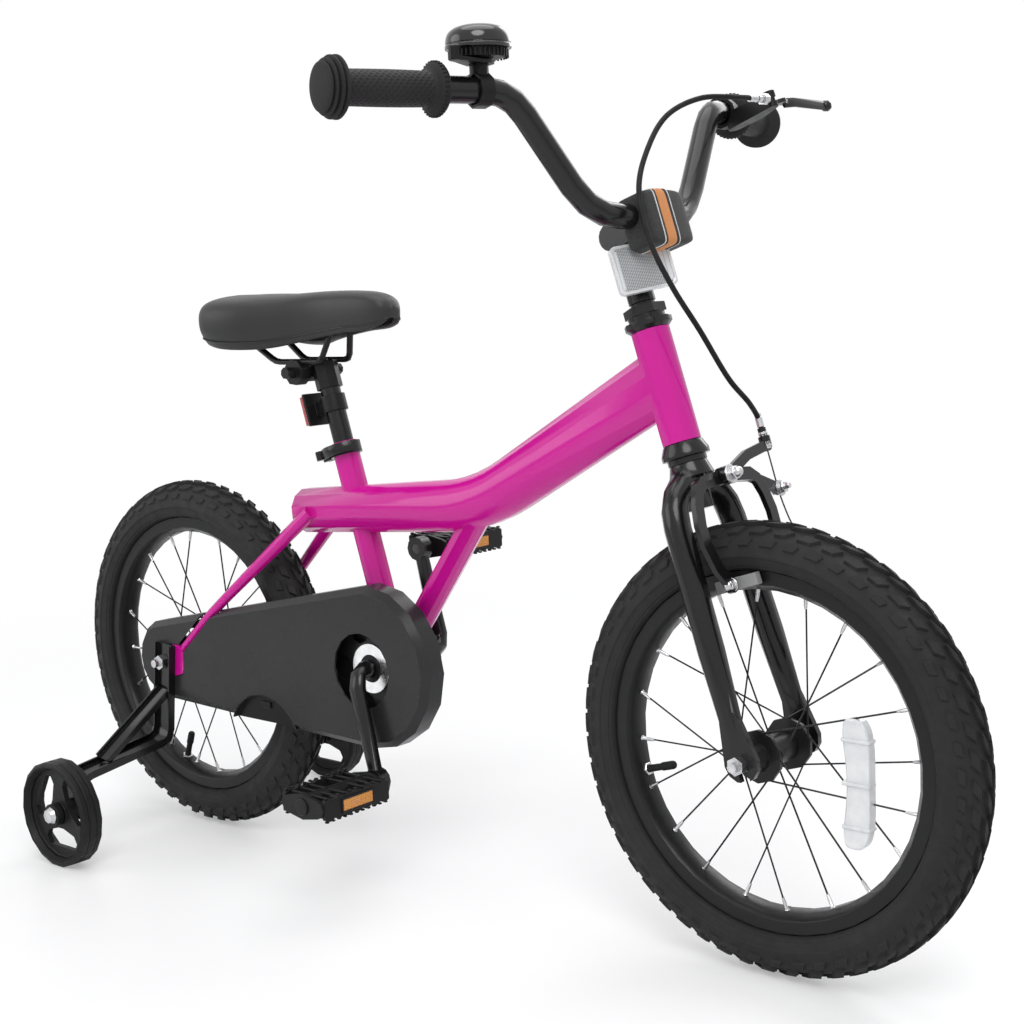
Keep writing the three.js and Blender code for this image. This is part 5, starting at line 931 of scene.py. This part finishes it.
# A grip from its outer end inwards: rounded tip, rings, barrel and inner flange.
grip_tips, grip_roots = (-11, 306, 605.6), (33, 148, 593.6)
grip_swell, grip_start, grip_span = 0.35, 14, 68
grip_profile = [
    (0, -12), (9, -11.6), (15, -10.8), (18, -10.1), (19.6, -9.3), (20, -8.5), (19.4, -7.7), (17.8, -7.3),
    (17.8, -6.8), (21.4, -6.3), (22.4, -5.5), (22.4, -4.6), (21.6, -3.9), (19, -3.5), (19, -3),
    (23.4, -2.5), (24.6, -1.6), (24.6, -0.6), (23.8, 0.2), (20.5, 0.6), (20.5, 1.2), (24, 1.8), (24.9, 2.8),
    (24.9, 4), (23.9, 5), (20, 5.6), (16.5, 6.6), (14.8, 8.6), (14.4, 12), (14.4, 14)
]
grip_profile += [(14.4 + grip_swell * math.sin(math.pi * (h - grip_start) / grip_span), h)
                 for h in range(18, 83, 4)]
grip_profile += [
    (14.5, 84.5), (15.4, 86.6), (17.8, 88.2), (19.8, 89.4), (20.6, 90), (21.6, 91.2), (22, 92.8),
    (22, 94.4), (21.5, 95.8), (20.4, 97), (18.6, 97.8), (12.2, 98)
]

bell_foot = (624.4, -175, 812.1)
dome_profile = [
    (27.2, 0), (27.5, 0.4), (27.5, 2.6), (27.1, 3.2), (26.6, 3.5), (26.5, 4), (27, 4.4), (27, 6.4),
    (26.5, 9.4), (25.3, 12.4), (23, 15), (19.4, 17.2), (14.6, 18.7), (9.2, 19.4), (4.6, 19.6), (0, 19.65)
]
bell_screw_profile = [(3.9, 19.3), (3.6, 19.8), (2.6, 20.1), (0, 20.2)]

# Crimped ends of the outer cable: name, place, direction and body. The lower one moves with its arm.
cable_end_profile = [
    (0, 0.4), (3, 0.4), (3.3, 0.8), (3.3, 9.6), (3, 10), (3, 10.6), (3.3, 11), (3.3, 13.4), (2.9, 14),
    (0, 14)
]
cable_ends = (
    ("caliper", cable_last, Vector((-0.3, 0, 0.954)), "caliper_left"),
    ("lever", cable_first, Vector((0.02, -1, -0.06)), "steering"),
)

# The inner wire from the barrel to its clamp, then its tail: distance past the clamp, and drift.
wire_barrel, wire_clamp = on_steer(36.8, 74, 264), on_steer(31.2, 82, 223)
wire_tail = ((14, (0.6, 0.4, 0)), (30, (2.2, 1.6, 0)), (40, (4.4, 3, 0)))
wire_radius, wire_start = 0.75, 6
wire_cap_run, wire_cap_drift, wire_cap_profile = 36, (3.2, 2.2, 0), [(0, 0), (1.3, 0), (1.4, 6), (0, 6)]
clamp_bolt_profile = [
    (0, -4), (5.4, -4), (5.6, -3.6), (5.6, -0.6), (3.4, -0.6), (3.4, 5), (5.6, 5), (5.8, 5.4), (5.8, 9),
    (5.2, 9.6), (3, 9.6), (3, 14), (2.6, 14.6), (0, 14.6)
]
clamp_washer_profile = [(3.2, 3.6), (7.4, 3.6), (7.6, 4), (7.6, 4.6), (7.4, 5), (3.2, 5)]
# Steps of the barrel: lower end, upper end and radius.
barrel_steps = ((0, 2, 4.2), (2, 7, 5.2), (7, 9, 4.2), (9, 12, 4.7), (12, 13.5, 3.8), (13.5, 16, 4.4))
barrel_edge = 0.3

# Washer, hexagon and dome of a cap nut, each with its number of sides.
pivot_nut = (([(0, -2), (8.6, -2), (8.8, -1.6), (8.8, -0.6), (8.4, -0.2), (0, -0.2)], 28),
             ([(0, -0.2), (6.2, -0.2), (6.4, 0.4), (6.4, 4.6), (5.4, 5.4), (0, 5.4)], 6),
             ([(0, 5), (5, 5), (4.9, 7), (4.2, 9), (2.8, 10.4), (1.2, 11), (0, 11.1)], 24))
shoe_nut = (([(0, -2), (6.4, -2), (6.6, -1.6), (6.6, -0.9), (6.2, -0.5), (0, -0.5)], 28),
            ([(0, -0.5), (5, -0.5), (5.2, 0), (5.2, 3.4), (4.6, 4), (0, 4)], 6),
            ([(0, 3.8), (4.2, 3.8), (4, 5.6), (3, 7), (1.4, 7.7), (0, 7.8)], 24))
shoe_nut_side = 33.6

# Round the section of the front reflector's rim: half width, half height and how far forward.
rim_rings = (
    (24.6, 19.6, 30.05), (24.6, 19.6, 30.5), (25.2, 20.2, 30.9), (26.6, 21.6, 30.9), (27.2, 22.2, 30.4),
    (27.2, 22.2, 24), (26.6, 21.6, 23.4), (26.2, 21.2, 24)
)
rim_corner, rim_height, rim_slant = 4.5, 442, -35
side_bands = ((15.6, 20), (20.4, 24.4), (-24.4, -21.6))


def turned(profiles, place):
    """One skin of several turned parts on the same axis."""
    return merged([moved(lathe(profile, sides), place) for profile, sides in profiles])


def make_grips():
    for name, sign in (("right", -1), ("left", 1)):
        tip, root = (on_steer(ahead, sign * side, up) for ahead, side, up in (grip_tips, grip_roots))
        place = axis_frame(tip, root - tip)
        made("grip_" + name + "_moulded", lathe(grip_profile, 72), "grip_rubber", "steering", place, 50,
             ["grip_" + name])
        ribs = spun(bevelled_box((20.6, -0.8, 90.6), (22.6, 0.8, 95), 0.4), 36)
        made("grip_" + name + "_ribs", ribs, "rubber", "steering", place)


def make_bell():
    place = axis_frame(bell_foot, (0, 0, 1))
    made("bell_dome_turned", lathe(dome_profile, 80), "bell_gloss", "steering", place, 30, ["bell_dome"])
    ribs = spun(bevelled_box((23.6, -0.8, -7.5), (25, 0.8, -1.2), 0.3), 40)
    made("bell_base_ribs", ribs, "black_plastic", "steering", place)
    made("bell_screw", lathe(bell_screw_profile, 24), "bell_gloss", "steering", place, 40)


def make_cable_ends():
    for name, place, way, body in cable_ends:
        made("cable_end_" + name, lathe(cable_end_profile, 20), "steel", body, axis_frame(place, way))


def make_wire():
    """The inner wire with its tail and the small cap on its end."""
    way = (wire_clamp - wire_barrel).normalized()
    points = [wire_barrel + way * wire_start, wire_barrel.lerp(wire_clamp, 0.5), wire_clamp]
    points += [wire_clamp + way * run + Vector(drift) for run, drift in wire_tail]
    line = smooth_line([tuple(point) for point in points], 5)
    made("brake_inner_wire", tube(line, wire_radius, 8), "dark_steel", "caliper_right", None, 60)
    cap = axis_frame(wire_clamp + way * wire_cap_run + Vector(wire_cap_drift), way)
    made("wire_end_cap", moved(lathe(wire_cap_profile, 10), cap), "steel", "caliper_right", None, 40)


def make_caliper_parts():
    """The pinch bolt, the barrel that the outer cable stands in, and the pivot nut."""
    bolt = axis_frame(wire_clamp - steer_ahead * 1.5, steer_ahead)
    skin = turned(((clamp_bolt_profile, 6), (clamp_washer_profile, 28)), bolt)
    made("wire_pinch_bolt", skin, "steel", "caliper_right", None, 28)
    barrel = axis_frame(wire_barrel - steer_up * 4, steer_up)
    e = barrel_edge
    steps = [([(0, low), (r - e, low), (r, low + e), (r, high - e), (r - e, high), (0, high)], 24)
             for low, high, r in barrel_steps]
    knurl = spun(bevelled_box((4.9, -0.4, 2.4), (5.5, 0.4, 6.6), 0.15), 20, barrel)
    made("barrel_adjuster", merged([turned(steps, barrel), knurl]), "steel", "caliper_left")
    pivot = axis_frame(on_steer(42, 0, 244), steer_ahead)
    made("pivot_cap_nut", turned(pivot_nut, pivot), "steel", "steering", None, 28)


def rounded(half_wide, half_tall, corner, steps=6):
    """An upright rectangle with round corners."""
    line = []
    for k, (sy, sz) in enumerate(((1, 1), (-1, 1), (-1, -1), (1, -1))):
        for n in range(steps + 1):
            turn = math.pi / 2 * (k + n / steps)
            line.append((sy * (half_wide - corner) + corner * math.cos(turn),
                         sz * (half_tall - corner) + corner * math.sin(turn)))
    return line


def make_reflector_border():
    """The front reflector's clear rim and plain side bands, on the lens's slant."""
    place = frame_of(steer_foot, steer_ahead, steer_up) @ Matrix.Rotation(math.radians(rim_slant), 4, "Z")
    parts = [rings_mesh([[(x, y, rim_height + z) for y, z in rounded(wide, tall, rim_corner)]
                         for wide, tall, x in rim_rings], loop=True)]
    parts += [bevelled_box((29.6, low, 424), (30.4, high, 460), 0.3) for low, high in side_bands]
    made("front_reflector_border", merged(parts), "clear_border", "steering", place)


def make_shoe_nuts():
    """The washers and domed nuts that hold the brake shoes."""
    for name, sign in (("right", -1), ("left", 1)):
        low, high = (Vector(corner) * 1000 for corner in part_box("brake_shoe_" + name))
        middle = (low + high) / 2
        place = axis_frame((middle.x, sign * shoe_nut_side, middle.z), (0, sign, 0))
        made("shoe_nut_" + name, turned(shoe_nut, place), "steel", "caliper_" + name, None, 28)


make_grips()
make_bell()
make_shoe_nuts()
make_reflector_border()
make_cable_ends()
make_wire()
make_caliper_parts()


# ---------------- drive side: pedals, crank ring and guard
pedal_middle = {"right": Vector((352.07, -128, 122.93)), "left": Vector((293.13, 128, 339.87))}
# The frame round a pedal's reflector: from and to along Y, then along Z.
lens_frame = ((-22, 22, 5.7, 7.6), (-22, 22, -7.6, -5.7), (-22, -20.1, -7, 7), (20.1, 22, -7, 7))
tread_ribs = (-36, -24, -12, 12, 24, 36)
teeth, tooth_pitch, tooth_half = 11, 8, 1.7
pedal_cap_side = 45.6
pedal_cap_profile = [(0, 0), (8.4, 0), (8.6, 0.4), (8.6, 1.6), (7.8, 2.2), (5, 2.5), (0, 2.6)]

crank_middle = (322.6, 0, 231.4)
# Rings on the crank's axis: name, inner and outer radius, from and to outward, material and body.
crank_rings = (
    ("crank_side_ring", 14.4, 26.4, 41.6, 43, "silver", "crank"),
    ("crank_side_collar", 8, 14.2, 41.4, 44.6, "black_plastic", "crank"),
    ("guard_back_plate", 28.4, 70, 34.4, 35, "black_plastic", "frame"),
)
# The guard's recess is an arc in degrees round a middle.
recess_middle, recess_radius, recess_arc, recess_steps = (164, 126), 59.6, (28, 152), 40
recess_cap = (-50.3, -49.1)
# The recess's wall: its thickness, and its places along Y from the outside inwards.
recess_wall, recess_outer, recess_lip, recess_inner = 1.4, -56.6, -56.2, -49.2
catch_low, catch_high = (-9, -52.9, 43.6), (7, -50.1, 50.6)


def mirrored_box(sign, x, y, z, bevel):
    """A box between two places on each axis, on one side of X."""
    (x0, x1), (y0, y1), (z0, z1) = sorted(sign * a for a in x), y, z
    return bevelled_box((x0, y0, z0), (x1, y1, z1), bevel)


def make_pedals():
    for name, middle in pedal_middle.items():
        body, place, out = "pedal_" + name, shift(middle), math.copysign(1, middle.y)
        lenses = [mirrored_box(sign, (30.9, 31.9), (-20, 20), (-5.6, 5.6), 0.4) for sign in (1, -1)]
        made(body + "_reflectors", merged(lenses), "amber_lens", body, place)
        ribs = [mirrored_box(sign, (30.6, 32.3), (y0, y1), (z0, z1), 0.35)
                for sign in (1, -1) for y0, y1, z0, z1 in lens_frame]
        ribs += [bevelled_box((-25, y - 1.6, z - 1.5), (25, y + 1.6, z + 1.5), 0.5)
                 for y in tread_ribs for z in (-9.4, 9.4)]
        for sign in (1, -1):
            for z in ((-12.9, -11.2), (11.2, 12.9)):
                for k in range(teeth):
                    y = tooth_pitch * (k - (teeth - 1) / 2)
                    ribs.append(mirrored_box(sign, (26.5, 30.5), (y - tooth_half, y + tooth_half), z, 0.5))
        made(body + "_ribs", merged(ribs), "black_plastic", body, place)
        cap = moved(lathe(pedal_cap_profile, 32), axis_frame((0, out * pedal_cap_side, 0), (0, out, 0)))
        made(body + "_cap", cap, "black_plastic", body, place)


def make_drive_side():
    outward = axis_frame(crank_middle, (0, -1, 0))
    for name, inner, outer, low, high, material, body in crank_rings:
        made(name, moved(ring_band(inner, outer, low, high), outward), material, body)


def make_guard_recess():
    """The sunk black cap in the guard's lower edge, with its wall and catch."""
    (middle, height), outer, inner = recess_middle, recess_radius, recess_radius - recess_wall
    section = ((outer, recess_outer), (inner, recess_lip), (inner, recess_inner), (outer, recess_inner))
    rim, wall = [], []
    for k in range(recess_steps + 1):
        turn = math.radians(recess_arc[0] + (recess_arc[1] - recess_arc[0]) * k / recess_steps)
        c, s = math.cos(turn), math.sin(turn)
        rim.append((middle + outer * c, height + outer * s))
        wall.append([(middle + r * c, y, height + r * s) for r, y in section])
    cap = rings_mesh([[(x, y, z) for x, z in rim] for y in recess_cap])
    low, high = ((middle + x, y, height + z) for x, y, z in (catch_low, catch_high))
    made("guard_recess_cap", merged([cap, rings_mesh(wall), bevelled_box(low, high, 0.8)]), "black_plastic",
         "frame")


make_pedals()
make_drive_side()
make_guard_recess()


# ---------------- brake cable housing
# Points between the cable's ends: share of the way, how far forward, and share of the way across.
cable_ways = (0.003, 0.01, 0.066, 0.171, 0.29, 0.434, 0.563, 0.695, 0.846, 0.922)
cable_forward = (0, -11, -20, -21, -17, -8, 2, 6, 5, 3)
cable_sides = (-0.199, -0.495, -0.759, -0.946, -1.062, -1.042, -0.927, -0.689, -0.38, -0.154)
housing_radius, housing_steps, housing_sides = 2.5, 12, 14


def between(a, b, low, high, u):
    return (a * (high - u) + b * (u - low)) / (high - low)


def centripetal(points, steps):
    """A centripetal Catmull-Rom line through the points, with mirrored end points."""
    points = [points[0] * 2 - points[1]] + list(points) + [points[-1] * 2 - points[-2]]
    line = []
    for i in range(1, len(points) - 2):
        p = points[i - 1:i + 3]
        t = [0.0]
        for a, b in zip(p, p[1:]):
            t.append(t[-1] + (b - a).length ** 0.5)
        for s in range(steps):
            u = t[1] + (t[2] - t[1]) * s / steps
            one, two, three = (between(p[k], p[k + 1], t[k], t[k + 1], u) for k in range(3))
            left, right = between(one, two, t[0], t[2], u), between(two, three, t[1], t[3], u)
            line.append(tuple(between(left, right, t[1], t[2], u)))
    line.append(tuple(points[-2]))
    return line


def make_housing():
    bow = [cable_first.lerp(cable_last, way) + Vector((forward, side * cable_first.y, 0))
           for way, forward, side in zip(cable_ways, cable_forward, cable_sides)]
    line = centripetal([cable_first] + bow + [cable_lead, cable_last], housing_steps)
    made("brake_cable_housing", tube(line, housing_radius, housing_sides), "rubber", "steering", None, 60,
         ["brake_cable"])


make_housing()


# ---------------- sizes, then the end
def corners(box):
    return [[round(c, 6) for c in corner] for corner in box]


{"cad": corners(cad_box), "visual": corners(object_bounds())}
